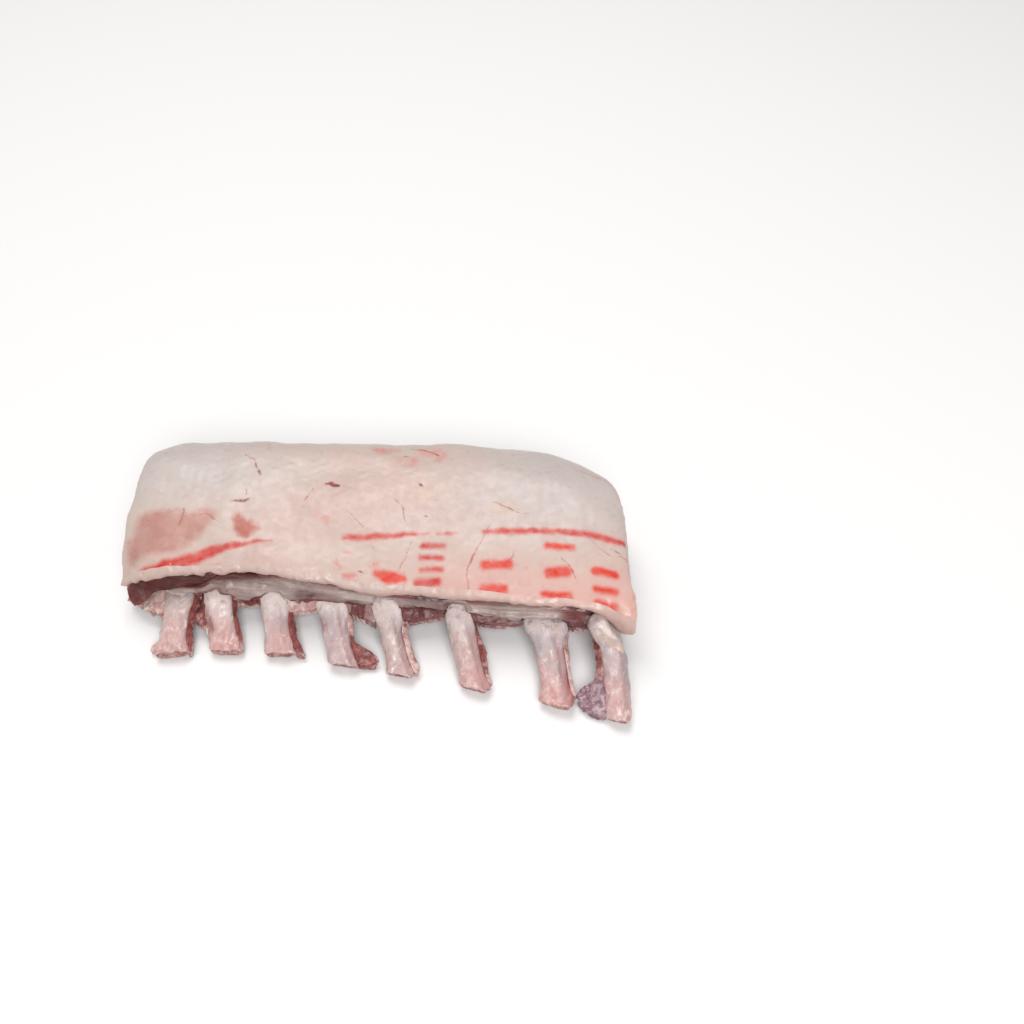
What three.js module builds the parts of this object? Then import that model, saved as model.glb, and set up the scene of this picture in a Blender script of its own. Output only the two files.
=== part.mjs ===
// A frenched rack of lamb with its fat cap on, lying fat side up. Millimetres, +Z up.
// +X runs along the backbone edge, from the shoulder end to the loin end.
// +Y points back to the backbone edge, and the bared rib ends point to -Y.
//
// Every piece is drawn in one set of body coordinates and then placed by place():
//   x  along the backbone, 0 at mid-length
//   v  depth, 0 at the backbone face and growing towards the rib tips
//   z  height above the surface that the rack lies on
// Pieces that do not cross in (x, v, z) do not cross in space either.
import * as THREE from 'three';

const { clamp, lerp, smoothstep } = THREE.MathUtils;

// Driving dimensions
const LENGTH = 234; // over the fat cap, along the backbone
const DEPTH = 88; // backbone face to the front edge of the cap
const CREST = 46; // top of the fat
const GAP = 0.3; // between neighbouring pieces

// Under the rack: the inside of the rib cage, an arch from the backbone edge to the rib tips
const ARCH_RISE = 12.4;
const ARCH_START = 7; // depth where the underside lifts off the table
const RIB_THICK = 7.2;
const RIB_ROUND = 2.6; // power of the rib's rounded section, 2 is an ellipse
const PLATE_THICK = 7.5; // ribs and the meat between them

// The ribs: x at the backbone, at the front of the meat and at the tip; depth of the tip;
// width of the bared shaft, at the front of the meat and at the sawn tip; depth where the white
// cover over the rib was cut back to.
const ROOT_DEPTH = 86;
const RIBS = [
  { back: -96, root: -89.5, tip: -87.5, reach: 114, shaft: 11.8, neck: 13.5, end: 14.5, bare: 88.6 },
  { back: -72, root: -72.5, tip: -63.5, reach: 110, shaft: 13, neck: 14, end: 15.5, bare: 86.6 },
  { back: -48, root: -46, tip: -38.5, reach: 109, shaft: 12.2, neck: 13.5, end: 15, bare: 83.6 },
  { back: -23, root: -19, tip: -9, reach: 112, shaft: 12.5, neck: 15, end: 14, bare: 82.8 },
  { back: 1, root: 6.5, tip: 17.5, reach: 114, shaft: 11, neck: 14.5, end: 13, bare: 83 },
  { back: 25, root: 39.5, tip: 51, reach: 117, shaft: 12.4, neck: 12.5, end: 14.5, bare: 83 },
  { back: 50, root: 78.5, tip: 87.5, reach: 121, shaft: 13, neck: 20, end: 16, bare: 86 },
  { back: 74, root: 107, tip: 114.5, reach: 125, shaft: 11.6, neck: 11, end: 11.8, bare: 84 },
];

// Depths of the sections through the ribs and the meat between them
const MEAT_DEPTHS = [2, 14, 28, 42, 56, 70, 80, ROOT_DEPTH];

// Nine stretches lie before, between and after the ribs. The meat in each reaches out in front of
// ROOT_DEPTH: beside its left rib, in the middle and beside its right rib. Under the hanging fat at
// the loin end it stays behind.
const WEBS = [
  [3, 8, 12],
  [2, 2, 2],
  [3, 3, 2],
  [3.5, 2.5, 2.5],
  [2, 4, 5.5],
  [3, 2.5, 0.8],
  [2.5, 3.5, 1.2],
  [2, 1.5, 1],
  null,
];

// The front lip of the white cover in the same stretches: its depth, and how far it hangs down
const LIPS = [
  { depth: 87.4, dip: 1.5 },
  { depth: 88.4, dip: 2.6 },
  { depth: 89.8, dip: 4.2 },
  { depth: 87.6, dip: 2.2 },
  { depth: 86.9, dip: 0.8 },
  { depth: 86.9, dip: 0.5 },
  { depth: 87.8, dip: 0.8 },
  { depth: 86.9, dip: 0.4 },
  { depth: 86.9, dip: 0 },
];

// Meat left on the side of a rib. Side +1 is towards the loin. It runs from `from` in front of
// ROOT_DEPTH to `stop` short of the tip, and is `flare` wider at the share `flareAt` of that way.
const TRIMS = [
  { rib: 0, side: -1, from: 17, stop: 1, width: 0.6, flare: 2.4, flareAt: 0.9, tall: 4.5 },
  { rib: 0, side: 1, from: 5, stop: 2, width: 1.6, flare: 0, flareAt: 1, tall: 5 },
  { rib: 1, side: -1, from: 6, stop: 9, width: 0.8, flare: 1.8, flareAt: 0.4, tall: 4.5 },
  { rib: 1, side: 1, from: 5, stop: 3, width: 1.4, flare: 0, flareAt: 1, tall: 4.5 },
  { rib: 2, side: 1, from: 7, stop: 1, width: 1.8, flare: 1.4, flareAt: 0.84, tall: 4.6 },
  { rib: 3, side: 1, from: 5, stop: 1, width: 1.2, flare: 8.6, flareAt: 0.8, tall: 4.4 },
  { rib: 4, side: 1, from: 6, stop: 1, width: 2.4, flare: 0.8, flareAt: 0.9, tall: 5 },
  { rib: 5, side: 1, from: 6, stop: 3, width: 1.8, flare: 0, flareAt: 1, tall: 4.4 },
  { rib: 6, side: 1, from: 6, stop: 5, width: 1.2, flare: 0, flareAt: 1, tall: 5 },
  { rib: 7, side: -1, from: 8, stop: 3, width: 1.2, flare: 9.6, flareAt: 0.72, tall: 5.4 },
];

// ---- body coordinates ----

// The y of a line of points at x, held level beyond its ends
function readOff(points, x) {
  const i = points.findIndex((p) => p.x > x);
  if (i === 0) return points[0].y;
  if (i < 0) return points.at(-1).y;
  const [a, b] = [points[i - 1], points[i]];
  return lerp(a.y, b.y, (x - a.x) / (b.x - a.x));
}

// How far an elliptical corner of the plan, across by deep, cuts into the outline at depth v.
function cornerInset(v, across, deep) {
  const t = clamp(1 - v / deep, 0, 1);
  return across * (1 - Math.sqrt(1 - t * t));
}

// The two ends of the rack, as x at depth v. The loin end slopes in towards the backbone.
const LOIN_SLOPE = 0.13;
const shoulderEnd = (v) => -LENGTH / 2 + cornerInset(v, 24, 26) + 1.2 * smoothstep(v, 76, DEPTH);
const loinFlare = (v) => 2 * smoothstep(v, 66, DEPTH) - 1.4 * smoothstep(v, DEPTH, DEPTH + 4);
const loinTaper = (v) => LOIN_SLOPE * Math.max(0, DEPTH - v) - loinFlare(v);
const loinEnd = (v) => LENGTH / 2 - loinTaper(v) - cornerInset(v, 34, 30);

// x at the share s of the way from the shoulder end to the loin end
const along = (s, v) => lerp(shoulderEnd(v), loinEnd(v), s);

// The backbone edge is not straight: it comes forward towards both ends, by this much at each x.
const backbone = new THREE.SplineCurve(
  [[-117, 14.5], [-98, 13.5], [-44, 9.5], [0, 5.5], [45, 2], [75, 4], [98, 7.5], [119, 10]].map(
    ([x, forward]) => new THREE.Vector2(x, forward),
  ),
);
const backbonePoints = backbone.getPoints(60);
const bow = (x) => readOff(backbonePoints, x);

function place(x, v, z) {
  const y = -(v + bow(x) * Math.max(0, 1 - v / DEPTH));
  return new THREE.Vector3(x, y, z);
}

// Depth of the rib tips along the rack, read off the ribs
const tipLine = new THREE.SplineCurve(RIBS.map((rib) => new THREE.Vector2(rib.tip, rib.reach)));
const tipPoints = tipLine.getPoints(80);
const reachAt = (x) => readOff(tipPoints, x);

// 1 at the shoulder end, where no rib holds the meat up, and 0 from the first rib on. The arch and
// the plate of meat grow thinner towards 1.
const FIRST_RIB_SIDE = -98;
const ARCH_LOST = 0.5;
const PLATE_LOST = 4.3;
const beyondRibs = (x) => clamp((FIRST_RIB_SIDE - x) / (FIRST_RIB_SIDE + LENGTH / 2), 0, 1);

function underside(x, v) {
  const foot = reachAt(x);
  const middle = (ARCH_START + foot) / 2;
  const half = (foot - ARCH_START) / 2;
  const arch = ARCH_RISE * (1 - ((v - middle) / half) ** 2);
  return Math.max(0, arch * (1 - ARCH_LOST * beyondRibs(x)));
}
const plateThick = (x) => PLATE_THICK - PLATE_LOST * beyondRibs(x);
const plateTop = (x, v) => underside(x, v) + plateThick(x);

// ---- solids ----

// Flips every triangle of an indexed geometry whose volume comes out negative.
function faceOut(geometry) {
  const p = geometry.getAttribute('position');
  const index = geometry.getIndex().array;
  const corner = (i) => new THREE.Vector3().fromBufferAttribute(p, i);
  let volume = 0;
  for (let i = 0; i < index.length; i += 3) {
    volume += corner(index[i]).dot(corner(index[i + 1]).cross(corner(index[i + 2])));
  }
  if (volume < 0) {
    for (let i = 0; i < index.length; i += 3) {
      [index[i], index[i + 1]] = [index[i + 1], index[i]];
    }
  }
  return geometry;
}

// The side faces of a solid over equal closed rings, as triangles of point numbers
function sideTriangles(ringCount, n) {
  const index = [];
  for (let i = 0; i + 1 < ringCount; i++) {
    for (let j = 0; j < n; j++) {
      const a = i * n + j;
      const b = i * n + ((j + 1) % n);
      index.push(a, b, b + n, a, b + n, a + n);
    }
  }
  return index;
}

function closedSolid(points, index) {
  const geometry = new THREE.BufferGeometry();
  const positions = points.flatMap((p) => [p.x, p.y, p.z]);
  geometry.setAttribute('position', new THREE.Float32BufferAttribute(positions, 3));
  geometry.setIndex(index);
  return faceOut(geometry);
}

// A solid whose two end faces fan out from their middles, for rounded sections
function loftRounded(rings) {
  const n = rings[0].length;
  const index = sideTriangles(rings.length, n);
  const points = rings.flat();
  const middleOf = (ring) => ring.reduce((sum, p) => sum.add(p), new THREE.Vector3()).divideScalar(n);
  const last = (rings.length - 1) * n;
  points.push(middleOf(rings[0]), middleOf(rings.at(-1)));
  for (let j = 0; j < n; j++) {
    const next = (j + 1) % n;
    index.push(points.length - 2, next, j, points.length - 1, last + j, last + next);
  }
  return closedSolid(points, index);
}

// A solid whose end faces have hollows. Each outline is the ring at that end, laid flat.
function loftOutlined(rings, firstOutline, lastOutline) {
  const n = rings[0].length;
  const index = sideTriangles(rings.length, n);
  const faceTriangles = (outline) => {
    const turned = THREE.ShapeUtils.isClockWise(outline);
    const flat = outline.map((p) => new THREE.Vector2(turned ? -p.x : p.x, p.y));
    return THREE.ShapeUtils.triangulateShape(flat, []);
  };
  const last = (rings.length - 1) * n;
  for (const [a, b, c] of faceTriangles(firstOutline)) index.push(c, b, a);
  for (const [a, b, c] of faceTriangles(lastOutline)) index.push(last + a, last + b, last + c);
  return closedSolid(rings.flat(), index);
}

// Points of a smooth curve through [v, z] pairs.
function smooth(pairs, count) {
  const curve = new THREE.SplineCurve(pairs.map(([v, z]) => new THREE.Vector2(v, z)));
  return curve.getPoints(count);
}

// ---- the layers over the ribs, each a section in (v, z) carried along s from 0 to 1 ----

const STATION_COUNT = 37;
const END_STATIONS = [0.006, 0.016, 0.034];
const NEAR_ENDS = [...END_STATIONS, ...END_STATIONS.map((s) => 1 - s)];
const inOrder = (list) => list.sort((a, b) => a - b);
const evenly = (count) => Array.from({ length: count }, (_, i) => i / (count - 1));
const STATIONS = inOrder([...evenly(STATION_COUNT), ...NEAR_ENDS]);

// The rack thins towards its ends with a round shoulder, more so the higher a point lies. Its front
// corner at the shoulder end hangs down, and beyond that the front edge of the fat is drawn up and back.
const SHOULDER_DROP = 6;
const SHOULDER_RUN = 0.13;
const CORNER_DROP = 7;
const DRAWN_UP = 5.6;
const DRAWN_BACK = 3;
function placeLayer(s, v, z) {
  const x = along(s, v);
  const above = z - plateTop(x, Math.min(v, DEPTH));
  const t = clamp(1 - Math.min(s, 1 - s) / SHOULDER_RUN, 0, 1);
  const shoulder = SHOULDER_DROP * (1 - Math.sqrt(1 - t ** 2.4)) * smoothstep(above, 0, 30);
  const corner = CORNER_DROP * (1 - smoothstep(s, 0, 0.1)) * smoothstep(v, 50, 86);
  const stretch = smoothstep(s, 0.06, 0.34) * (1 - smoothstep(s, 0.28, 0.54));
  const drawn = stretch * clamp((above - 2) / 8, 0, 1);
  const up = DRAWN_UP * smoothstep(v, 64, 84) * (1 - 0.4 * smoothstep(above, 11, 20));
  const back = DRAWN_BACK * smoothstep(v, 72, 86);
  return place(x, v - drawn * back, z - shoulder - corner * clamp(above / 13, 0, 1) + drawn * up);
}

// The fat: its front edge wavers, and hangs down over the last rib and beyond it.
const waver = (s) => 0.7 * Math.sin(17 * s + 0.6) + 0.4 * Math.sin(41 * s);
const fatFront = (s) => DEPTH + waver(s) + 3.4 * smoothstep(s, 0.94, 0.985);
const hang = (s) => 8.9 * smoothstep(s, 0.925, 0.968) + 1.2 * smoothstep(s, 0.985, 0.998);

// Inner face of the fat, from its edge above the backbone over the meat to the front
const INNER_FAT_STEPS = 12;
const innerFat = smooth(
  [[5, 25.6], [5.8, 30.5], [9.5, 35], [17, 38.2], [28, 39.2], [45, 37.2], [62, 33.6], [75, 30], [83, 27.4]],
  INNER_FAT_STEPS,
);
function fatUnder(v) {
  const i = innerFat.findIndex((p) => p.x >= v);
  const [a, b] = [innerFat.at(i < 0 ? -2 : i - 1), innerFat.at(i)];
  return lerp(a.y, b.y, (v - a.x) / (b.x - a.x));
}

function fatSection(s) {
  const dropped = hang(s);
  const front = fatFront(s);
  const swell = 0.5 * Math.sin(9 * s + 1) + 0.35 * Math.sin(23 * s);
  const outer = smooth(
    [
      [2.4, 25.4],
      [0.5, 31],
      [1.6, 37],
      [6.5, 42.2],
      [16, CREST - 0.7],
      [28, CREST + swell],
      [45, CREST - 1.6 - swell],
      [62, CREST - 5 + 0.5 * swell],
      [76, CREST - 9.6],
      [front - 3, CREST - 13.4 - 0.25 * dropped],
      [front, 29.8 - 0.7 * dropped],
      [front - 0.6, 27 - dropped],
    ],
    20,
  );
  const lip = [
    new THREE.Vector2(front - 2.4, 26.2 - dropped),
    new THREE.Vector2(front - 3.6, 27 - 0.75 * dropped),
  ];
  return [...outer, ...lip, ...innerFat.toReversed()];
}

// Large back muscle. Its top lies against the fat, its rounded front edge is the nose, and its
// back is the flat cut that took the backbone off.
const noseDepth = (s) => 63 - 9 * (1 - smoothstep(s, 0, 0.4));
const NOSE_RUN = 22;
const NOSE_HEIGHT = 27.5;
const COVER_UNDER_EYE = 3;
const eyeFloor = (s, v) => plateTop(along(s, v), v) + COVER_UNDER_EYE;

function noseSection(s, apart) {
  const start = noseDepth(s) - NOSE_RUN;
  const arc = (t) => Math.sqrt(1 - t * t);
  const depth = (t) => start + (NOSE_RUN + apart) * t;
  const above = [0, 0.35, 0.62, 0.82, 0.94, 1].map((t) => {
    const top = fatUnder(start) - GAP;
    const z = Math.min(lerp(NOSE_HEIGHT, top, arc(t)), fatUnder(depth(t)) - GAP);
    return new THREE.Vector2(depth(t), z + apart);
  });
  const below = [0.94, 0.8, 0.6].map((t) => {
    const z = lerp(NOSE_HEIGHT, eyeFloor(s, depth(t)), arc(t));
    return new THREE.Vector2(depth(t), z - apart);
  });
  return { above, below };
}

const EYE_TOP_POINTS = 8;
const EYE_FLOOR_DEPTHS = [36, 24, 14, 8];
function eyeSection(s) {
  const nose = noseSection(s, 0);
  const topCount = innerFat.findIndex((p) => p.x > nose.above[0].x - 4);
  const inside = (p, i) => {
    const ahead = innerFat[i + 1].clone().sub(innerFat[Math.max(0, i - 1)]).normalize();
    return new THREE.Vector2(p.x + GAP * ahead.y, p.y - GAP * ahead.x);
  };
  const top = innerFat.slice(0, topCount).map(inside);
  const shown = Array.from({ length: EYE_TOP_POINTS }, (_, i) => {
    const t = (i / (EYE_TOP_POINTS - 1)) * (topCount - 1);
    const j = Math.min(Math.floor(t), topCount - 2);
    return top[j].clone().lerp(top[j + 1], t - j);
  });
  const bottom = EYE_FLOOR_DEPTHS.map((v) => new THREE.Vector2(v, eyeFloor(s, v) + GAP));
  const back = [
    new THREE.Vector2(3.4, eyeFloor(s, 4) + 0.5),
    new THREE.Vector2(2.2, 16.5),
    new THREE.Vector2(2, 21.5),
    new THREE.Vector2(2.8, 25),
  ];
  return [...shown, ...nose.above, ...nose.below, ...bottom, ...back];
}

// Muscle under the front of the fat: thick at the shoulder end, running out over the third rib.
// Its face and that of the white cover stand at FACE_DEPTH.
const FACE_DEPTH = 82.4;
const CAP_MUSCLE_THICK = 12.1;
const CAP_MUSCLE_END = 0.31;
const coverEdge = (s) => plateTop(along(s, DEPTH), DEPTH) + GAP;
function capMuscle(s) {
  const room = fatUnder(FACE_DEPTH) - coverEdge(s) - 2.5;
  return Math.min(room, 0.9 + CAP_MUSCLE_THICK * (1 - smoothstep(s, 0.02, 0.21)));
}
const capMuscleShare = (s, v) => Math.sin((Math.PI / 2) * clamp((v - noseDepth(s)) / 12, 0.07, 1));

// Depths of the points on the face where the muscle under the fat and the white cover meet
const shelfDepths = (s) => [0, 0.14, 0.4, 0.7, 1].map((t) => lerp(noseDepth(s) + 1, FACE_DEPTH, t));

function capMuscleSection(s) {
  const thick = capMuscle(s);
  const full = smoothstep(thick, 1.2, 5);
  const under = fatUnder(FACE_DEPTH);
  const depths = shelfDepths(s);
  const top = depths.map((v) => new THREE.Vector2(v, fatUnder(v) - 2 * GAP));
  const foot = 3 + 1.6 * (1 - smoothstep(s, 0.04, 0.14));
  const nose = [
    new THREE.Vector2(FACE_DEPTH + 0.6 + 3.2 * full, lerp(under - 0.3 * thick, under - 2.7, full)),
    new THREE.Vector2(FACE_DEPTH + 0.5 + foot * full, under - 0.1 - 0.88 * thick),
  ];
  const bottom = depths.toReversed().map((v) => {
    return new THREE.Vector2(v, fatUnder(v) - 2 * GAP - thick * capMuscleShare(s, v));
  });
  return [...top, ...nose, ...bottom];
}

// White fat and membrane between the muscles and the ribs. Its front lip hangs down between the ribs
// and is cut back over them.
const clearOfRib = (x, rib) => Math.abs(x - rib.root) - rib.neck / 2;
const nearestRib = (x) => {
  return RIBS.reduce((best, rib) => (clearOfRib(x, rib) < clearOfRib(x, best) ? rib : best));
};
const lipAt = (x) => LIPS[RIBS.filter((rib) => rib.root < x).length];
const lipDip = (x) => lipAt(x).dip * smoothstep(clearOfRib(x, nearestRib(x)), 0, 5);
function lipDepth(x) {
  const rib = nearestRib(x);
  return lerp(rib.bare, lipAt(x).depth, smoothstep(clearOfRib(x, rib), -3.6, 0.6));
}

const stationAt = (x) => (x - shoulderEnd(DEPTH)) / (loinEnd(DEPTH) - shoulderEnd(DEPTH));
const ribStations = RIBS.flatMap((rib) => {
  return [-5, 0.4, 3.4].flatMap((inward) => {
    const offset = rib.neck / 2 - inward;
    return [stationAt(rib.root - offset), stationAt(rib.root + offset)];
  });
});
const COVER_STATIONS = inOrder([0, 1, ...NEAR_ENDS, ...ribStations, stationAt(22), stationAt(58)])
  .filter((s, i, all) => s >= 0 && s <= 1 && (i === 0 || s - all[i - 1] > 0.004));

function coverSection(s) {
  const free = 1 - smoothstep(s, 0.9, 0.935);
  const x = along(s, DEPTH);
  const out = lerp(FACE_DEPTH + 0.9, lipDepth(x), free);
  const edgeDepth = Math.min(out - 0.5, ROOT_DEPTH + GAP);
  const dip = free * lipDip(x);
  const onPlate = (v) => new THREE.Vector2(v, plateTop(along(s, v), v) + GAP);
  const edge = onPlate(edgeDepth).y;
  const muscle = (v) => (s < CAP_MUSCLE_END ? 2 * GAP + capMuscle(s) * capMuscleShare(s, v) : 0);
  const shelf = (v) => fatUnder(v) - GAP - muscle(v);
  const top = shelf(FACE_DEPTH) - GAP;
  const ripple = free * (0.35 * Math.sin(33 * s) + 0.25 * Math.sin(71 * s + 1));
  const crown = Math.max(edge + 0.9, lerp(edge + 1.6, Math.min(top - 1, 24.6), free));
  const lip = [
    new THREE.Vector2(edgeDepth + 0.25, edge + 0.1 - dip),
    new THREE.Vector2(out + ripple, lerp(edge + 0.4 - dip, crown, 0.4)),
    new THREE.Vector2(lerp(FACE_DEPTH + 0.3, out + ripple, 0.8), crown),
  ];
  const nose = noseSection(s, 1.5 * GAP);
  const [tip, ...front] = nose.above.slice(3);
  const tipHeight = (tip.y + shelf(tip.x)) / 2;
  return [
    ...MEAT_DEPTHS.slice(0, -1).map((v) => onPlate(Math.max(v, 4))),
    onPlate(edgeDepth),
    ...lip,
    ...shelfDepths(s).toReversed().map((v) => new THREE.Vector2(v, shelf(v) - GAP)),
    new THREE.Vector2(tip.x, tipHeight),
    ...front,
    ...nose.below,
    ...[...EYE_FLOOR_DEPTHS, 4.4].map((v) => new THREE.Vector2(v, eyeFloor(s, v) - 2.2 * GAP)),
  ];
}

function layer(section, stations) {
  const sections = stations.map(section);
  const rings = stations.map((s, i) => sections[i].map((p) => placeLayer(s, p.x, p.y)));
  return loftOutlined(rings, sections[0], sections.at(-1));
}

// ---- ribs, the meat between them and the scraps beside them, each a section in (x, z)
// carried along v ----

// The value at t of the parabola through three [t, value] pairs
function throughThree(a, b, c, t) {
  const [[ta, ya], [tb, yb], [tc, yc]] = [a, b, c];
  return (
    (ya * (t - tb) * (t - tc)) / ((ta - tb) * (ta - tc)) +
    (yb * (t - ta) * (t - tc)) / ((tb - ta) * (tb - tc)) +
    (yc * (t - ta) * (t - tb)) / ((tc - ta) * (tc - tb))
  );
}

// Middle and half width of a rib at depth v
const BURIED_WIDTH = 10.5;
const ribX = (rib, v) => throughThree([0, rib.back], [ROOT_DEPTH, rib.root], [rib.reach, rib.tip], v);

function ribHalfWidth(rib, v) {
  const inMeat = lerp(BURIED_WIDTH, rib.neck, smoothstep(v, 40, ROOT_DEPTH));
  const bared = lerp(rib.shaft, rib.end, smoothstep(v, rib.reach - 9, rib.reach));
  return lerp(inMeat, bared, smoothstep(v, ROOT_DEPTH + 1, ROOT_DEPTH + 11)) / 2;
}

// A rib's section is a rounded oblong. These are its corners, as shares of its half width and
// half height.
const RIB_SIDES = 12;
const ribCorners = Array.from({ length: RIB_SIDES }, (_, j) => {
  const angle = (2 * Math.PI * (j + 0.5)) / RIB_SIDES;
  const squared = (t) => Math.sign(t) * Math.abs(t) ** (2 / RIB_ROUND);
  return { across: squared(Math.cos(angle)), up: squared(Math.sin(angle)) };
});
const ribTopZ = (x, v) => underside(x, v) + RIB_THICK;

function ribSolid(rib) {
  const start = ROOT_DEPTH + 8;
  const bared = evenly(5).map((t) => lerp(start, rib.reach, t ** 0.8));
  const depths = [...MEAT_DEPTHS, ROOT_DEPTH + 4, ...bared];
  const rings = depths.map((v) => {
    const x = ribX(rib, v);
    const half = ribHalfWidth(rib, v);
    const floor = underside(x, v);
    return ribCorners.map(({ across, up }) => {
      return place(x + half * across, v, floor + (RIB_THICK / 2) * (1 + up));
    });
  });
  return loftRounded(rings);
}

// The meat between two ribs, or between an end of the rack and its nearest rib. Its front is a thin
// web under the white lip, and reaches further out beside some ribs than others.
const WEB_FILLET = 3.5; // the web keeps its height for this far from a rib
const SIDE_CORNERS = [ribCorners[10], ribCorners[11], ribCorners[0], ribCorners[1]];
function betweenRibs(k) {
  const [left, right] = [RIBS[k - 1], RIBS[k]];
  const web = WEBS[k];
  const at = (x, v, floorX, height) => place(x, v, underside(floorX, v) + height);
  const share = (up) => (RIB_THICK / 2) * (1 + up);
  // Up one side of the meat: along a rib, or along the cut end of the rack
  const wall = (rib, side, endAt, v, reach, topOf) => {
    return SIDE_CORNERS.map(({ across, up }) => {
      const depth = v + reach;
      const end = endAt(depth);
      if (!rib) return at(end, depth, end, Math.min(share(up), topOf(end)));
      const centre = ribX(rib, depth);
      const round = v > ROOT_DEPTH ? 1 : across;
      const x = centre + side * (ribHalfWidth(rib, depth) * round + GAP + 0.08 * reach);
      return at(x, depth, centre, Math.min(share(up), topOf(x + side * WEB_FILLET)));
    });
  };
  const ring = (v, reach, topOf) => {
    const leftWall = wall(left, 1, shoulderEnd, v, reach[0], topOf);
    const rightWall = wall(right, -1, loinEnd, v, reach[2], topOf);
    const x = (leftWall[1].x + rightWall[1].x) / 2;
    const depth = v + reach[1];
    const above = at(x, depth, x, Math.min(share(0.94), topOf(x)));
    const below = at(x, depth, x, share(-0.66));
    return [...leftWall, above, ...rightWall.reverse(), below];
  };
  const whole = (x) => plateThick(x) - GAP;
  const underLip = (x) => plateThick(x) - lipDip(x) - 2 * GAP;
  const none = [0, 0, 0];
  const rings = MEAT_DEPTHS.map((v) => ring(web ? v : Math.min(v, ROOT_DEPTH - v / 30), none, whole));
  if (web) {
    rings.push(ring(ROOT_DEPTH + 0.05, none, underLip));
    rings.push(ring(ROOT_DEPTH + 0.05, web, (x) => 0.8 * underLip(x)));
  }
  return loftRounded(rings);
}

// A scrap of meat along the bared side of a rib, wider where it is loose near the tip
function trimSolid({ rib: k, side, from, stop, width, flare, flareAt, tall }) {
  const rib = RIBS[k];
  const rings = evenly(8).map((t) => {
    const v = lerp(ROOT_DEPTH + from, rib.reach - stop, t);
    const inner = ribX(rib, v) + side * (ribHalfWidth(rib, v) + GAP);
    const body = width * Math.sin(Math.PI * (0.16 + 0.7 * t)) + 0.4 * Math.sin(9 * t + 2 * k);
    const outer = 0.7 + body + flare * Math.exp(-(((t - flareAt) / 0.18) ** 2));
    const floor = underside(inner, v) + 0.5;
    const top = tall * (0.75 + 0.25 * Math.sin(Math.PI * t)) - 0.06 * outer;
    const corners = [[0, 0.08], [0, 1], [0.45, 0.96], [0.92, 0.72], [1, 0.36], [0.7, 0]];
    return corners.map(([a, h]) => place(inner + side * a * outer, v, floor + h * top));
  });
  return loftRounded(rings);
}

// A strap of sinew that runs from under the hanging corner of the fat down onto the last rib
function strapSolid() {
  const rib = RIBS.at(-1);
  const rings = evenly(7).map((t) => {
    const v = lerp(DEPTH + 4.4, 103, t);
    const x = lerp(100.6, ribX(rib, v), smoothstep(t, 0, 0.75));
    const floor = lerp(20, ribTopZ(ribX(rib, v), v) + GAP, smoothstep(t, 0, 0.7));
    const half = 3.2 + 0.5 * Math.sin(Math.PI * t);
    const thick = lerp(4.4, 1.2, t);
    const corners = [[-1, 0.25], [-0.6, 0], [0.6, 0], [1, 0.25], [0.6, 1], [-0.6, 1]];
    return corners.map(([a, h]) => place(x + half * a, v, floor + thick * h));
  });
  return loftRounded(rings);
}

// ---- materials ----

const finish = (color, roughness) => new THREE.MeshStandardMaterial({ color, roughness, metalness: 0 });
const FAT = finish(0xe9d9d3, 0.55);
const DARK_MEAT = finish(0x7d3f45, 0.4);
const MEAT = finish(0xa85a60, 0.4);
const MEMBRANE = finish(0xc9b8b2, 0.5);
const BONE = finish(0xe0c9c6, 0.45);

// ---- the rack ----

const rack = new THREE.Group();
function add(name, geometry, material) {
  const mesh = new THREE.Mesh(geometry, material);
  mesh.name = name;
  rack.add(mesh);
}

add('fat_cap', layer(fatSection, STATIONS), FAT);
const sparse = STATIONS.filter((s, i) => i < 4 || i % 2 === 0 || i > STATIONS.length - 5);
add('eye_muscle', layer(eyeSection, sparse), DARK_MEAT);
const muscleStations = STATIONS.filter((s) => s < CAP_MUSCLE_END - 0.01);
add('cap_muscle', layer(capMuscleSection, muscleStations), DARK_MEAT);
add('rib_cover', layer(coverSection, COVER_STATIONS), MEMBRANE);
RIBS.forEach((rib, k) => add(`rib_${k + 1}`, ribSolid(rib), BONE));
for (let k = 0; k <= RIBS.length; k++) add(`between_ribs_${k}`, betweenRibs(k), MEAT);
for (const trim of TRIMS) {
  const side = trim.side < 0 ? 'shoulder' : 'loin';
  add(`rib_${trim.rib + 1}_scrap_${side}_side`, trimSolid(trim), MEAT);
}
add('sinew_strap', strapSolid(), MEMBRANE);

// The origin goes to the middle of the footprint, on the table.
const bounds = new THREE.Box3().setFromObject(rack);
const middle = bounds.getCenter(new THREE.Vector3());
rack.position.set(-middle.x, -middle.y, -bounds.min.z);

export default rack;
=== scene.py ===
# %% [markdown]
# # A raw rack of lamb, fat side up
# A rack is eight ribs with the long back muscle on top of them, under a cap of fat. The butcher has
# frenched it: the last stretch of every rib is scraped bare. Everything here is a soft, wet, uneven
# layer, so each piece is a fine surface over the solid of the packed model that it stands for, and
# the finishes are mixed from noise, from the height along a rib and from marks laid on the surface.

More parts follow.
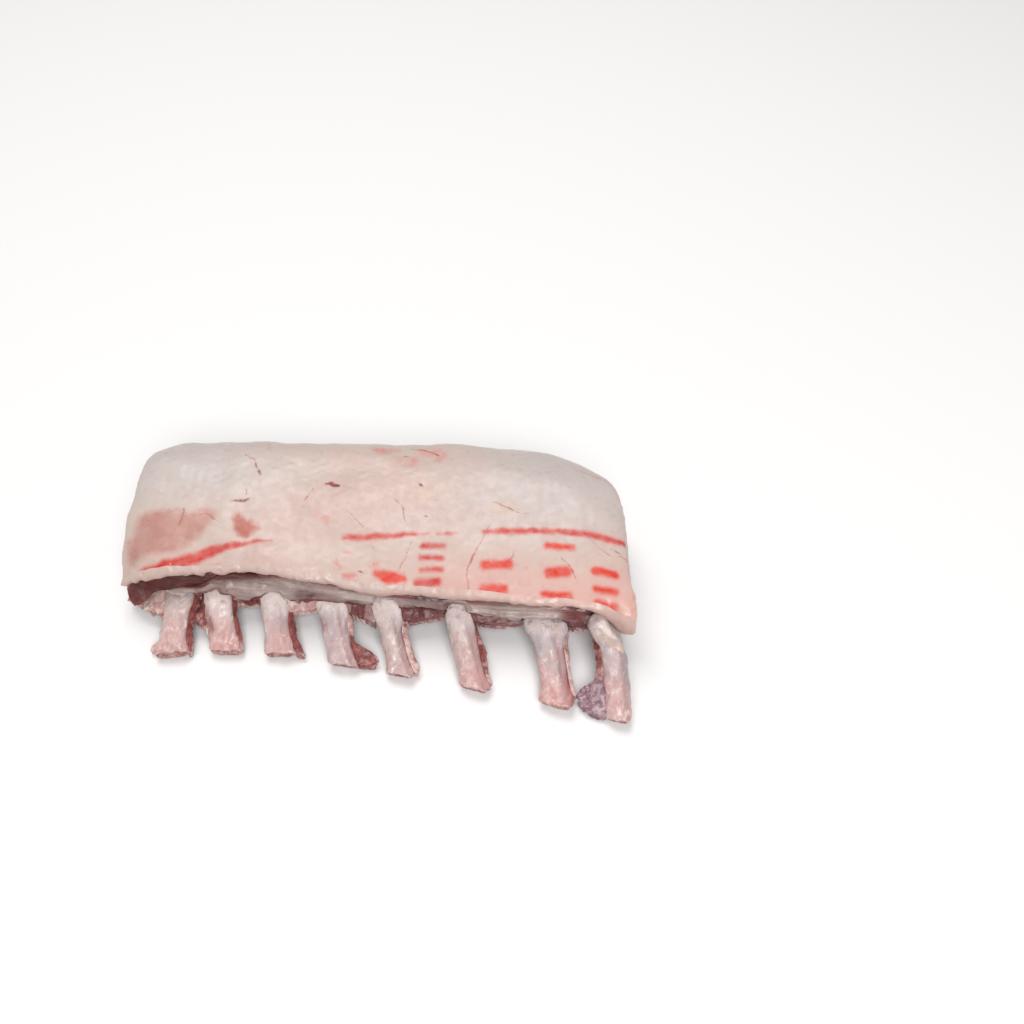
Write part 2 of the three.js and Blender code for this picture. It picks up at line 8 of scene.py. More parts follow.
import bpy
import numpy as np
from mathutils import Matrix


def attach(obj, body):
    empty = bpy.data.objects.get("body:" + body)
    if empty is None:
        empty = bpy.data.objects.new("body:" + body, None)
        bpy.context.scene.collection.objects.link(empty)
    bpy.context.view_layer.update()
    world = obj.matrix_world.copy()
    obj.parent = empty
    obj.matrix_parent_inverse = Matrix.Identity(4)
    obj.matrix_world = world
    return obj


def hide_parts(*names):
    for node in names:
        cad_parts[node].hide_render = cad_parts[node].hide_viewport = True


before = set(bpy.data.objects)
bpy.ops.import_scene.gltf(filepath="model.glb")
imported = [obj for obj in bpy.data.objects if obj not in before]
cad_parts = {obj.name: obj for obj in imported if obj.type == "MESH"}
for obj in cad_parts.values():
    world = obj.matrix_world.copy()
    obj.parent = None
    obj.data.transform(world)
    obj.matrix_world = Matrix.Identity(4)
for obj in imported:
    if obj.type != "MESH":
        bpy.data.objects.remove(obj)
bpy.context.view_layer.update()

# %% [markdown]
# ## Camera and light
# The rack is seen from in front and above, about 50 degrees down, from a little to the right. The lens
# is a plain 35 mm one. The light is that of a white studio tent: one broad panel overhead and a little
# behind, a weaker one in front, and pale surroundings that fill the shadows. A raw fat surface shows
# its lumps in such light without hard highlights.

# %% Camera, lamps and floor
scene = bpy.context.scene
scene.view_settings.view_transform = "Standard"
PITCH, TURN = np.radians((50.92, 6.0))
FLOOR_CORNERS = [(-4, -4, 0), (4, -4, 0), (4, 4, 0), (-4, 4, 0)]


def put(name, data):
    """A new object in the scene."""
    made = bpy.data.objects.new(name, data)
    scene.collection.objects.link(made)
    return made


def panel_light(name, at, aim, size, power, colour):
    """A square lamp at a place, turned so that it shines on the point aim."""
    lamp = put(name, bpy.data.lights.new(name, "AREA"))
    lamp.data.size = size
    lamp.data.energy = power
    lamp.data.color = colour
    lamp.location = at
    back = np.array(at) - np.array(aim)
    tilt, swing = np.arccos(back[2] / np.linalg.norm(back)), np.arctan2(back[1], back[0])
    lamp.rotation_euler = (tilt, 0, swing + np.pi / 2)


camera = put("camera", bpy.data.cameras.new("camera"))
camera.data.lens = 35
camera.data.sensor_width = 36
camera.location = (0.08771, -0.26584, 0.39273)
camera.rotation_euler = (np.pi / 2 - PITCH, 0, TURN)
scene.camera = camera

panel_light("overhead_panel", (-0.3, 0.55, 1.65), (0, 0, 0), 1.1, 18, (1.0, 0.985, 0.97))
panel_light("front_panel", (0.45, -1.2, 1.45), (0, -0.02, 0.01), 1.0, 26, (1.0, 0.99, 0.98))
scene.world = bpy.data.worlds.new("studio_tent")
scene.world.use_nodes = True
tent = scene.world.node_tree.nodes["Background"].inputs
tent["Color"].default_value = (1.0, 1.0, 1.0, 1)
tent["Strength"].default_value = 0.3

floor = put("floor", bpy.data.meshes.new("floor"))
floor.data.from_pydata(FLOOR_CORNERS, [], [(0, 1, 2, 3)])
floor_paint = bpy.data.materials.new("pale_floor")
floor_paint.use_nodes = True
paint = floor_paint.node_tree.nodes["Principled BSDF"].inputs
paint["Base Color"].default_value = (0.82, 0.82, 0.82, 1)
paint["Roughness"].default_value = 0.85
floor.data.materials.append(floor_paint)
print("camera", [round(c, 3) for c in camera.location], "lamps", len(bpy.data.lights))

# %% [markdown]
# ## A coordinate system for the carcass
# A rack bends, so straight x, y, z are awkward to carve in. Every piece is worked out in body
# coordinates, in millimetres: x along the backbone, v the depth from the backbone towards the rib tips,
# z the height. One function then bends all of it alike, so layers that fit in body coordinates still
# fit after the bending.

# %% Body coordinates
LENGTH, DEPTH, CREST = 234.0, 88.0, 46.0
ROOT_DEPTH = 86.0
RIB_THICK, PLATE_THICK = 7.2, 7.5
ARCH_RISE, ARCH_START = 12.4, 7.0
GAP = 0.12
TO_ORIGIN = np.array([-1.622, 63.718, -0.095])


def table(fields, *rows):
    """Rows of values, each as a dictionary by field."""
    return [dict(zip(fields.split(), row)) for row in rows]


RIBS = table(
    "back root tip reach shaft neck end bare",
    (-96, -89.5, -87.5, 114, 11.8, 13.5, 14.5, 88.6),
    (-72, -72.5, -63.5, 110, 13, 14, 15.5, 86.6),
    (-48, -46, -38.5, 109, 12.2, 13.5, 15, 83.6),
    (-23, -19, -9, 112, 12.5, 15, 14, 82.8),
    (1, 6.5, 17.5, 114, 11, 14.5, 13, 83),
    (25, 39.5, 51, 117, 12.4, 12.5, 14.5, 83),
    (50, 78.5, 87.5, 121, 13, 20, 16, 86),
    (74, 107, 114.5, 125, 11.6, 11, 11.8, 84),
)
ROOTS = np.array([rib["root"] for rib in RIBS])
NECKS = np.array([rib["neck"] for rib in RIBS])


def ease(value, low, high):
    """0 below low, 1 above high, and in between 3t^2 - 2t^3, so it starts and stops softly."""
    t = np.clip((np.asarray(value, float) - low) / (high - low), 0, 1)
    return t * t * (3 - 2 * t)


def mix(a, b, share):
    """a at share 0, b at share 1."""
    return a + (b - a) * share


def hill(value, middle, wide, power=2):
    """1 at the middle, falling on both sides as exp(-d^power), with d the distance over wide."""
    return np.exp(-(np.abs((value - middle) / wide) ** power))


def flow_at(knots, u, closed=False):
    """A smooth curve through knots, read at knot numbers u. Between knots b and c, with neighbours a
    and d and share t: half of 2b + (c-a)t + (2a-5b+4c-d)t^2 + (3b-a-3c+d)t^3."""
    knots = np.asarray(knots, float)
    count = knots.shape[-2]
    i = np.clip(np.floor(u).astype(int), 0, count - 1 if closed else count - 2)
    t = (u - i)[..., None]
    mode = "wrap" if closed else "clip"
    a, b, c, d = (np.take(knots, i + step, axis=-2, mode=mode) for step in (-1, 0, 1, 2))
    return 0.5 * (2 * b + (c - a) * t + (2 * a - 5 * b + 4 * c - d) * t**2 + (3 * b - a - 3 * c + d) * t**3)


def flow_line(knots, steps=60):
    return flow_at(knots, np.linspace(0, len(knots) - 1, steps + 1))


BOW_KNOTS = [(-117, 14.5), (-98, 13.5), (-44, 9.5), (0, 5.5), (45, 2), (75, 4), (98, 7.5), (119, 10)]
BACKBONE = flow_line(BOW_KNOTS)
TIP_LINE = flow_line([(rib["tip"], rib["reach"]) for rib in RIBS], 80)


def corner_inset(v, across, deep):
    """How far an elliptical corner of the plan cuts in at depth v: across * (1 - sqrt(1 - t^2))."""
    t = np.clip(1 - v / deep, 0, 1)
    return across * (1 - np.sqrt(1 - t * t))


def shoulder_end(v):
    return -LENGTH / 2 + corner_inset(v, 24, 26) + 1.2 * ease(v, 76, DEPTH)


def loin_end(v):
    flare = 2 * ease(v, 66, DEPTH) - 1.4 * ease(v, DEPTH, DEPTH + 4)
    return LENGTH / 2 - 0.13 * np.maximum(0, DEPTH - v) + flare - corner_inset(v, 34, 30)


def along(s, v):
    """x at the share s of the way from the shoulder end to the loin end, at depth v."""
    return mix(shoulder_end(v), loin_end(v), s)


def place(x, v, z):
    """Bends body coordinates into the rack's own: the backbone edge comes forward by the bow at x,
    fading out towards the front."""
    bow = np.interp(x, BACKBONE[:, 0], BACKBONE[:, 1])
    y = -(v + bow * np.maximum(0, 1 - v / DEPTH))
    return np.stack(np.broadcast_arrays(x, y, z), -1) + TO_ORIGIN


def beyond_ribs(x):
    """0 from near the first rib on, rising to 1 at the shoulder end, where the rack thins out."""
    return np.clip((-98 - x) / (-98 + LENGTH / 2), 0, 1)


def underside(x, v):
    """The inside of the rib cage: a parabola from the backbone edge to the rib tips."""
    foot = np.interp(x, TIP_LINE[:, 0], TIP_LINE[:, 1])
    middle, half = (ARCH_START + foot) / 2, (foot - ARCH_START) / 2
    arch = ARCH_RISE * (1 - ((v - middle) / half) ** 2)
    return np.maximum(0, arch * (1 - 0.5 * beyond_ribs(x)))


def plate_thick(x):
    return PLATE_THICK - 4.3 * beyond_ribs(x)


def plate_top(x, v):
    return underside(x, v) + plate_thick(x)


print("rib tips reach", round(float(TIP_LINE[:, 1].max()), 1), "mm from the backbone edge")

# %% [markdown]
# ## Lumps, wrinkles and torn edges
# Meat has no repeated pattern, but its unevenness does have sizes: swellings as wide as a thumb,
# puckers of a few millimetres, fibres under one. A sum of sine waves that run in random directions and
# have nearly the same length gives one such size, smoothly and for any number of points at once. The
# draws are seeded, so the rack comes out the same each time.

# %% Unevenness of a given size
def lumps(points, size, seed, stretch=(1, 1, 1), waves=18):
    """Soft noise of about one swelling per size mm: the mean of sines sin(k.p + phase), with the
    waves k in random directions and the lengths of k spread by a third. Stretch makes the lumps
    longer along an axis."""
    draw = np.random.default_rng(seed)
    heading = draw.normal(size=(waves, 3))
    heading /= np.linalg.norm(heading, axis=1, keepdims=True)
    k = heading * (2 * np.pi / (size * draw.uniform(0.75, 1.35, (waves, 1)))) / np.array(stretch)
    phase = draw.uniform(0, 2 * np.pi, waves)
    return np.sin(points @ k.T + phase).sum(-1) / np.sqrt(waves / 2)


def rough(points, size, seed, stretch=(1, 1, 1)):
    """Lumps of three sizes, each half as large and half as high as the last."""
    return sum(lumps(points, size / 2**i, seed + i, stretch) / 2**i for i in range(3)) / 1.75


def line_noise(x, size, seed):
    """Noise along one line, read from the lumps at (x, 0, 0)."""
    return lumps(np.stack([x, 0 * x, 0 * x], -1), size, seed)


check_points = np.random.default_rng(1).uniform(-50, 50, (2000, 3))
print("spread of lumps", round(float(lumps(check_points, 10, 3).std()), 2))

# %% [markdown]
# ## From rings to a closed skin
# Each piece is a stack of closed rings, one for every station along the rack or along a rib. The ring
# is laid down once as a few knots, and read finely where the eye goes. A skin over the rings is then
# pushed in and out along its own normals. The two ends are filled by walking across from one half of
# the end ring to the other, so a cut face gets points of its own that can bulge or sink.

# %% Rings, relief and skins
def ring_steps(knots, turn, counts, crowd=None):
    """Knot numbers round a closed ring: counts[0] steps from knot 0 to knot turn and counts[1] steps
    back to knot 0, spaced by arc length, and closer by the factor crowd of the first coordinate."""
    parts = []
    for start, stop, count in ((0, turn, counts[0]), (turn, len(knots), counts[1])):
        dense = np.linspace(start, stop, 600)
        at = flow_at(knots, dense, closed=True)
        step = np.linalg.norm(np.diff(at, axis=0), axis=1)
        if crowd:
            step = step * crowd((at[1:, 0] + at[:-1, 0]) / 2)
        run = np.concatenate([[0], np.cumsum(step)])
        parts.append(np.interp(np.linspace(0, run[-1], count + 1)[:-1], run, dense))
    return np.concatenate(parts)


def outward(rings):
    """Unit normals of a stack of closed rings: the cross product of the step along and the step
    round, turned so that most of them point away from the middle."""
    down = np.gradient(rings, axis=0)
    sideways = np.roll(rings, -1, axis=1) - np.roll(rings, 1, axis=1)
    normal = np.cross(down, sideways)
    normal /= np.maximum(np.linalg.norm(normal, axis=-1, keepdims=True), 1e-9)
    away = (normal * (rings - rings.mean(axis=1, keepdims=True))).sum()
    return normal * np.sign(away)


def halves(ring, turn):
    """The two ways round a ring, both from its point 0 to its point turn."""
    return ring[: turn + 1], np.concatenate([ring[turn:], ring[:1]])[::-1]


def split_quads(a, b, c, d):
    return np.concatenate([np.stack(corners, -1).reshape(-1, 3) for corners in ((a, b, c), (a, c, d))])


def zipped(upper, lower):
    """Triangles between two rows of points with different counts, taken in turn by the middles of
    their steps."""
    up, low = ((np.arange(len(row) - 1) + 0.5) / (len(row) - 1) for row in (upper, lower))
    over, under = lower[np.searchsorted(low, up)], upper[np.searchsorted(up, low, side="right")]
    return np.concatenate(
        [np.stack([upper[:-1], upper[1:], over], -1), np.stack([lower[1:], lower[:-1], under], -1)]
    )


def fill_end(ring, numbers, turn, layers, first_free, sink, seed):
    """New points and triangles of one end. At share w of the way across, a point is the mix of the two
    halves of the ring, moved along the face's normal by the sink and a little roughness. Towards the
    ring both fade out: as 5.6w(1-w) across it and as 6t(1-t) along it, where these are under 1."""
    first, second = halves(ring, turn)
    share = np.linspace(0, 1, turn + 1)
    second = np.stack([np.interp(share, np.linspace(0, 1, len(second)), axis) for axis in second.T], -1)
    w = (np.arange(1, layers) / layers)[:, None, None]
    inside = mix(first[1:-1], second[1:-1], w)
    spokes = ring - ring.mean(axis=0)
    normal = np.cross(spokes, np.roll(spokes, -1, axis=0)).sum(axis=0)
    normal /= np.linalg.norm(normal)
    fade = np.minimum(1, 5.6 * (w * (1 - w))[..., 0]) * np.minimum(1, 6 * share * (1 - share))[1:-1]
    lift = fade * (sink[0] + sink[1] * rough(inside, sink[2], seed))
    inside = inside + normal * lift[..., None]
    near, far = halves(numbers, turn)
    grid = np.tile(near, (layers, 1))
    grid[1:, 1:-1] = first_free + np.arange((layers - 1) * (turn - 1)).reshape(layers - 1, turn - 1)
    faces = split_quads(grid[:-1, :-1], grid[:-1, 1:], grid[1:, 1:], grid[1:, :-1])
    faces = np.concatenate([faces, zipped(grid[-1], far)])
    return inside.reshape(-1, 3), faces[(faces != np.roll(faces, 1, axis=1)).all(axis=1)]


def rounded_end(distance, radius):
    """How far a skin draws in near an edge, as a quarter circle does: r - sqrt(r^2 - (r-d)^2)."""
    short = np.clip(radius - distance, 0, radius)
    return radius - np.sqrt(np.maximum(radius**2 - short**2, 0))


class Skin:
    """A closed piece over rings (stations, points, 3) in mm that stands for one solid. The relief
    pushes it out along its normals, but not below the floor. Crisp, each station's distance to an end
    and a radius, rounds it there. Side quads join neighbouring rings, and each end is filled across
    from the first half of its ring, up to the point turn. An end's three numbers say how far it
    bulges, how rough it is and how large that roughness is. For every point the skin keeps its
    station and its place round the ring, which is -1 inside an end; there on_end is 1."""

    def __init__(self, node, slot, rings, relief, crisp, turn, ends, layers=8, floor=0.0):
        rings = rings + outward(rings) * (relief - rounded_end(*crisp)[:, None])[..., None]
        rings[..., 2] = np.maximum(rings[..., 2], floor)
        stations, n = rings.shape[:2]
        number = np.arange(stations * n).reshape(stations, n)
        turned = np.roll(number, -1, axis=1)
        quads = np.stack([number[:-1], turned[:-1], turned[1:], number[1:]], -1).reshape(-1, 4)
        points, triangles = rings.reshape(-1, 3), []
        for row, side, (sink, *coarse) in ((0, -1, ends[0]), (stations - 1, 1, ends[1])):
            lift, seed = (sink * side, *coarse), 50 + (side > 0)
            fresh, faces = fill_end(rings[row], number[row], turn, layers, len(points), lift, seed)
            triangles.append(faces[:, ::side])
            points = np.concatenate([points, fresh])
        fresh_count = len(points) - stations * n
        end_stations = np.repeat([0, stations - 1], fresh_count // 2)
        self.points = points
        self.station = np.concatenate([np.repeat(np.arange(stations), n), end_stations])
        self.round = np.concatenate([np.tile(np.arange(n), stations), np.full(fresh_count, -1)])
        self.on_end = (self.round < 0) * 1.0
        self.piece = put(node + "_skin", bpy.data.meshes.new(node + "_skin"))
        self.build(quads, np.concatenate(triangles))
        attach(self.piece, "root")
        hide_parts(node)

    def build(self, quads, triangles):
        """Writes the mesh, in metres. The faces are turned outward by the sign of the volume, the sum
        of a.(b x c) over the triangles."""
        every = np.concatenate([quads[:, :3], quads[:, [0, 2, 3]], triangles])
        a, b, c = np.moveaxis((self.points - self.points.mean(axis=0))[every], 1, 0)
        turn = np.sign((a * np.cross(b, c)).sum()).astype(int)
        faces = [*quads[:, ::turn].tolist(), *triangles[:, ::turn].tolist()]
        self.piece.data.from_pydata(self.points / 1000, [], faces, shade_flat=False)

    def from_ring(self, values, on_ends=0):
        """Values given once round the ring, for every point of the skin."""
        return np.where(self.round >= 0, values[self.round], on_ends)

    def body(self):
        """x and depth of every point, without the backbone's bow, which fades out in front."""
        return self.points[:, 0] - TO_ORIGIN[0], TO_ORIGIN[1] - self.points[:, 1]

    def mark(self, **marks):
        """Stores one number per point under a name that a finish can read."""
        for name, numbers in marks.items():
            layer = self.piece.data.attributes.new(name, "FLOAT", "POINT")
            layer.data.foreach_set("value", np.full(len(self.points), numbers, np.float32))


def faces_in(*skins):
    return sum(len(skin.piece.data.polygons) for skin in skins)


square = np.array([(0, 0), (1, 0), (1, 1), (0, 1.0)])
print("a ring of 4 knots read at", ring_steps(square, 2, (4, 4)).round(2))

# %% [markdown]
# ## Layers that run the length of the rack
# The fat, the two muscles and the white cover under them all run from end to end, so each is one
# cross-section in depth and height that changes along the rack. The end stations lie close together,
# because a knife leaves a crisp edge there with just a small round to it.

# %% Stations and the placing of layers
CLOSE = np.array([0, 0.0006, 0.0014, 0.0028, 0.005, 0.008])


def stations(count):
    """Shares along the rack, closer at both ends."""
    return np.concatenate([CLOSE, np.linspace(0.011, 0.989, count), 1 - CLOSE[::-1]])


def end_distance(s):
    """Distance in mm along the rack from each station to the nearer end."""
    return np.minimum(s, 1 - s) * LENGTH


def place_layer(s, v, z):
    """Sinks the shoulders of the rack, drops its front corner at the shoulder end and draws the
    front edge up and back beyond that, all more so the higher a point lies over the ribs."""
    x = along(s, v)
    above = z - plate_top(x, np.minimum(v, DEPTH))
    t = np.clip(1 - np.minimum(s, 1 - s) / 0.13, 0, 1)
    shoulder = 6 * (1 - np.sqrt(1 - t**2.4)) * ease(above, 0, 30)
    corner = 7 * (1 - ease(s, 0, 0.1)) * ease(v, 50, 86) * np.clip(above / 13, 0, 1)
    stretch = ease(s, 0.06, 0.34) * (1 - ease(s, 0.28, 0.54)) * np.clip((above - 2) / 8, 0, 1)
    up = 5.6 * ease(v, 64, 84) * (1 - 0.4 * ease(above, 11, 20))
    back = 3 * ease(v, 72, 86)
    return place(x, v - stretch * back, z - shoulder - corner + stretch * up)


def section(s, pairs):
    """Knots (stations, knots, 2) from (v, z) pairs, each a number or one value per station."""
    return np.stack([np.stack(np.broadcast_arrays(v, z, s)[:2], -1) for v, z in pairs], axis=1)


def layer(node, slot, s, knots_at, turn, counts, crowd, relief_at, radius, ends, layers=8, shift_at=None):
    """The skin of a layer: its knots at the stations s, read round the ring in counts[0] steps to the
    knot turn and counts[1] steps back, with its relief, its ends rounded by a radius, and maybe a
    shift along the rack. It keeps the knot numbers u that its rings are read at."""
    knots = knots_at(s)
    u = ring_steps(knots[len(s) // 2], turn, counts, crowd)
    fine = flow_at(knots, u, closed=True)
    rings = place_layer(s[:, None], fine[..., 0], fine[..., 1])
    relief = relief_at(rings, fine, s)
    if shift_at:
        rings[..., 0] += shift_at(fine, s)
    skin = Skin(node, slot, rings, relief, (end_distance(s), radius), counts[0], ends, layers)
    skin.u = u
    return skin


INNER_FAT = np.array([
    (5, 25.6), (5.8, 30.5), (9.5, 35), (17, 38.2), (28, 39.2), (45, 37.2), (62, 33.6), (75, 30), (83, 27.4),
])
inner_line = flow_line(INNER_FAT, 200)


def fat_under(v):
    """Height of the fat's inner face at depth v."""
    return np.interp(v, inner_line[:, 0], inner_line[:, 1])


print("closest stations", round(float(np.diff(stations(368)).min() * LENGTH), 2), "mm apart")

# %% [markdown]
# ## The fat cap
# The fat is a sheet about 7 mm thick that curls over the backbone edge and ends in a cut lip in front.
# Its section is a crescent: out over the top and back along the inner face. The lip wanders a little,
# is lifted over the ribs six and seven, and hangs down over the last. The relief has three sizes, broad
# swellings of half a millimetre, puckers, and nicks along the lip.

# %% Fat cap
def fat_knots(s):
    """From the edge over the backbone along the top to the lip, and back along the inner face."""
    lifted = ease(s, 0.55, 0.72) * (1 - ease(s, 0.86, 0.9))
    x = s * LENGTH
    ragged = (0.35 + 0.35 * (1 - ease(s, 0.1, 0.3))) * line_noise(x, 7, 16)
    hang = 8.9 * ease(s, 0.925, 0.968) + 1.2 * ease(s, 0.985, 0.998) - 2.8 * hill(s, 0.895, 0.028)
    hang = hang - 1.3 * lifted + ragged
    front = DEPTH + 0.7 * np.sin(17 * s + 0.6) + 0.4 * np.sin(41 * s)
    front = front + 3.4 * ease(s, 0.94, 0.985) - 1.2 * lifted
    corners = 1 - ease(end_distance(s), 0, 16)
    edge = 0.8 * line_noise(x, 46, 17) + 0.45 * line_noise(x, 15, 18) + 2.6 * corners
    swell = 0.5 * np.sin(9 * s + 1) + 0.35 * np.sin(23 * s)
    outer = [
        (2.4, 25.4 + edge), (0.5, 31), (1.6, 37), (6.5, 42.2), (16, CREST - 0.7), (28, CREST + swell),
        (45, CREST - 1.6 - swell), (62, CREST - 5 + 0.5 * swell), (76, CREST - 9.6),
        (front - 3, CREST - 13.4 - 0.25 * hang), (front, 29.8 - 0.7 * hang), (front - 0.6, 27 - hang),
    ]
    lip = [(front - 2.4, 26.2 - hang), (front - 3.6, 27 - 0.75 * hang)]
    return section(s, [*outer, *lip, *INNER_FAT[:0:-1], (5, 25.8 + edge)])


def fat_relief(rings, fine, s):
    """Swellings of 40 mm, puckers of 13 and 4 mm, and nicks where the depth passes the lip."""
    at_lip = ease(fine[..., 0], 82, 86.5)
    relief = 0.4 * lumps(rings, 42, 11) + 0.12 * lumps(rings, 13, 12) + 0.035 * lumps(rings, 4, 13)
    nicks = at_lip * (0.3 * rough(rings, 7, 14) - 0.45 * ease(lumps(rings, 5, 15), 0.9, 1.8))
    return ease(fine[..., 1], 24, 32) * relief + nicks * (1 - 0.45 * ease(s, 0.35, 0.5))[:, None]


FAT_TURN = 12
fat_cap = layer(
    "fat_cap", "fat", stations(368), fat_knots, FAT_TURN, (196, 40), lambda v: 1 + 1.2 * (v > 70),
    fat_relief, 0.9, ends=((0.3, 0.25, 5),) * 2,
)
print("fat cap:", faces_in(fat_cap), "faces")

# %% [markdown]
# ## The two muscles
# Under the fat lies the long back muscle. It shows where the backbone was sawn off and on both cut
# ends, so those parts of its section get most of the points. A second, darker muscle lies between the
# fat and the rest at the shoulder end only: a wedge that a knife left satin smooth in front. Cut
# muscle swells out of its skin a little, so the end faces bulge.

# %% Eye muscle and cap muscle
NOSE_RUN, NOSE_HEIGHT = 22.0, 27.5
FACE_DEPTH = 82.4
CAP_MUSCLE_END = 0.3
EYE_FLOOR_DEPTHS = (36, 24, 14, 8)
SHELF_SHARES = (0, 0.14, 0.4, 0.7, 1)


def nose_depth(s):
    return 63 - 9 * (1 - ease(s, 0, 0.4))


def eye_floor(s, v):
    return plate_top(along(s, v), v) + 3


def nose_knots(s, apart):
    """The rounded front of the back muscle: a quarter ellipse up to the fat and one down to the
    floor, each moved out by apart."""
    start = nose_depth(s) - NOSE_RUN
    above, below = [], []
    for t in (0, 0.35, 0.62, 0.82, 0.94, 1):
        v = start + (NOSE_RUN + apart) * t
        top = mix(NOSE_HEIGHT, fat_under(start) - GAP, np.sqrt(1 - t * t))
        above.append((v, np.minimum(top, fat_under(v) - GAP) + apart))
    for t in (0.94, 0.8, 0.6):
        v = start + (NOSE_RUN + apart) * t
        below.append((v, mix(NOSE_HEIGHT, eye_floor(s, v), np.sqrt(1 - t * t)) - apart))
    return above, below


def eye_knots(s):
    """Along the fat's inner face at one gap from it, round the nose, and back over the ribs."""
    above, below = nose_knots(s, 0)
    knot_numbers = np.linspace(0, len(INNER_FAT) - 1, len(inner_line))
    last = np.interp(nose_depth(s) - NOSE_RUN - 4, inner_line[:, 0], knot_numbers)
    top = []
    for u in last * np.linspace(0, 1, 8)[:, None]:
        at = flow_at(INNER_FAT, u)
        ahead = flow_at(INNER_FAT, u + 0.02) - flow_at(INNER_FAT, np.maximum(u - 0.02, 0))
        ahead /= np.linalg.norm(ahead, axis=1, keepdims=True)
        top.append((at[:, 0] + GAP * ahead[:, 1], at[:, 1] - GAP * ahead[:, 0]))
    base = [(v, eye_floor(s, v) + 0.3) for v in EYE_FLOOR_DEPTHS]
    back = [(3.4, eye_floor(s, 4) + 0.5), (2.2, 16.5), (2, 21.5), (2.8, 25)]
    return section(s, [*top, *above, *below, *base, *back])


def eye_relief(rings, fine, s):
    """Swellings of 24 mm and fibres of 8 mm on the sawn back, calmer where the fat covers them."""
    relief = 0.45 * lumps(rings, 24, 21) + 0.24 * rough(rings, 8, 22, (3, 1, 1))
    at_end = 1 - ease(end_distance(s), 2, 14)[:, None]
    return relief * (1 - 0.8 * ease(fine[..., 0], 8, 16)) * (1 - at_end * ease(fine[..., 1], 22, 25.5))


def cap_muscle_thick(s):
    """Thickness of the wedge: full at the shoulder end, running out to a thin tail."""
    edge = plate_top(along(s, DEPTH), DEPTH) + 0.3
    room = fat_under(FACE_DEPTH) - edge - 2.5
    return np.minimum(room, 1.5 + 16.4 * (1 - ease(s, 0.04, 0.23)))


def cap_muscle_share(s, v):
    """The wedge's thickness at depth v over the full one: a quarter sine from the eye muscle's nose."""
    return np.sin(np.pi / 2 * np.clip((v - nose_depth(s)) / 12, 0.07, 1))


def shelf_depths(s):
    return [mix(nose_depth(s) + 1, FACE_DEPTH, t) for t in SHELF_SHARES]


def cap_muscle_knots(s):
    """Forward under the fat, down the cut face, and back under the wedge."""
    thick, under = cap_muscle_thick(s), fat_under(FACE_DEPTH)
    full = ease(thick, 1.2, 5)
    top = [(v, fat_under(v) - 2 * GAP) for v in shelf_depths(s)]
    foot = 3 + 7.5 * (1 - ease(s, 0.04, 0.15))
    nose = [
        (FACE_DEPTH + 0.6 + 3.2 * full, mix(under - 0.3 * thick, under - 2.7, full)),
        (FACE_DEPTH + 0.5 + foot * full, under - 0.1 - 0.95 * thick),
    ]
    low = [(v, fat_under(v) - 2 * GAP - thick * cap_muscle_share(s, v)) for v in shelf_depths(s)[::-1]]
    return section(s, [*top, *nose, *low])


def cap_muscle_relief(rings, fine, s):
    relief = 0.22 * lumps(rings, 11, 31) + 0.1 * rough(rings, 4, 32, (3, 1, 1))
    return relief * ease(fine[..., 0], 79, 85)


def cut_corner(fine, s):
    """The wedge's front corner is cut back along a quarter ellipse 9 mm wide."""
    t = np.clip((fine[..., 0] - 79) / 15, 0, 1)
    return 9 * (1 - np.sqrt(1 - t**2)) * (1 - ease(s, 0, 0.08))[:, None]


eye = layer(
    "eye_muscle", "dark_meat", stations(230), eye_knots, 13, (60, 110), lambda v: 1 + 5 * (v < 7),
    eye_relief, 1.2, ends=((0.4, 0.25, 7),) * 2, layers=24,
)
s_cap = np.concatenate([CLOSE[:5], np.linspace(CLOSE[5], CAP_MUSCLE_END, 150)])
cap_muscle = layer(
    "cap_muscle", "dark_meat", s_cap, cap_muscle_knots, 6, (70, 70), lambda v: 1 + 6 * (v > 80),
    cap_muscle_relief, 0.9, ends=((0.7, 0.3, 5), (0, 0, 5)), shift_at=cut_corner,
)
print("muscles:", faces_in(eye), "and", faces_in(cap_muscle), "faces")

# %% [markdown]
# ## The white cover over the ribs
# Between muscle and ribs lies fat under a wet, grey-white membrane. The knife cut it back over each
# rib, and between the ribs its lip hangs down, in one gap lower towards the next rib. The lip is the
# raggedest edge of the rack, so both its depth and its hang carry noise of a few millimetres, and
# folds run along the band.

# %% Rib cover
LIP_DEPTHS = np.array([87.4, 88.4, 89.8, 87.6, 86.9, 86.9, 87.8, 86.9, 86.9])
LIP_DIPS = np.array([1.5, 2.6, 4.2, 2.2, 0.8, 0.5, 0.8, 0.4, 0])
LIP_TILTS = np.array([0, 0, 0, 0, 0, 0, 2.8, 0, 0])
LEFT_EDGES = np.array([-117, *(ROOTS + NECKS / 2)])
RIGHT_EDGES = np.array([*(ROOTS - NECKS / 2), 117])
LIP_ON_RIBS = np.array([90.8, 84.8, 84.4, 86.6, 83, 83.4, 88, 84])
ARCHED = np.array([6, 6.5, 5.2, 3.6, 3.6, 3.6, 6, 3.6])
MEAT_DEPTHS = (14, 28, 42, 56, 70, 80)
COVER_TURN = 11


def clear_of_ribs(x):
    """Distance from x to the side of the nearest rib, and which rib that is."""
    gap = np.abs(x[:, None] - ROOTS) - NECKS / 2
    return gap.min(axis=1), gap.argmin(axis=1)


def which_gap(x):
    """0 before the first rib, and 8 past the last."""
    return (ROOTS < x[:, None]).sum(axis=1)


def lip_tilt(x):
    """How much lower the lip hangs towards the rib on the loin side of a gap."""
    k = which_gap(x)
    return LIP_TILTS[k] * ease((x - LEFT_EDGES[k]) / (RIGHT_EDGES[k] - LEFT_EDGES[k]), 0.1, 0.9)


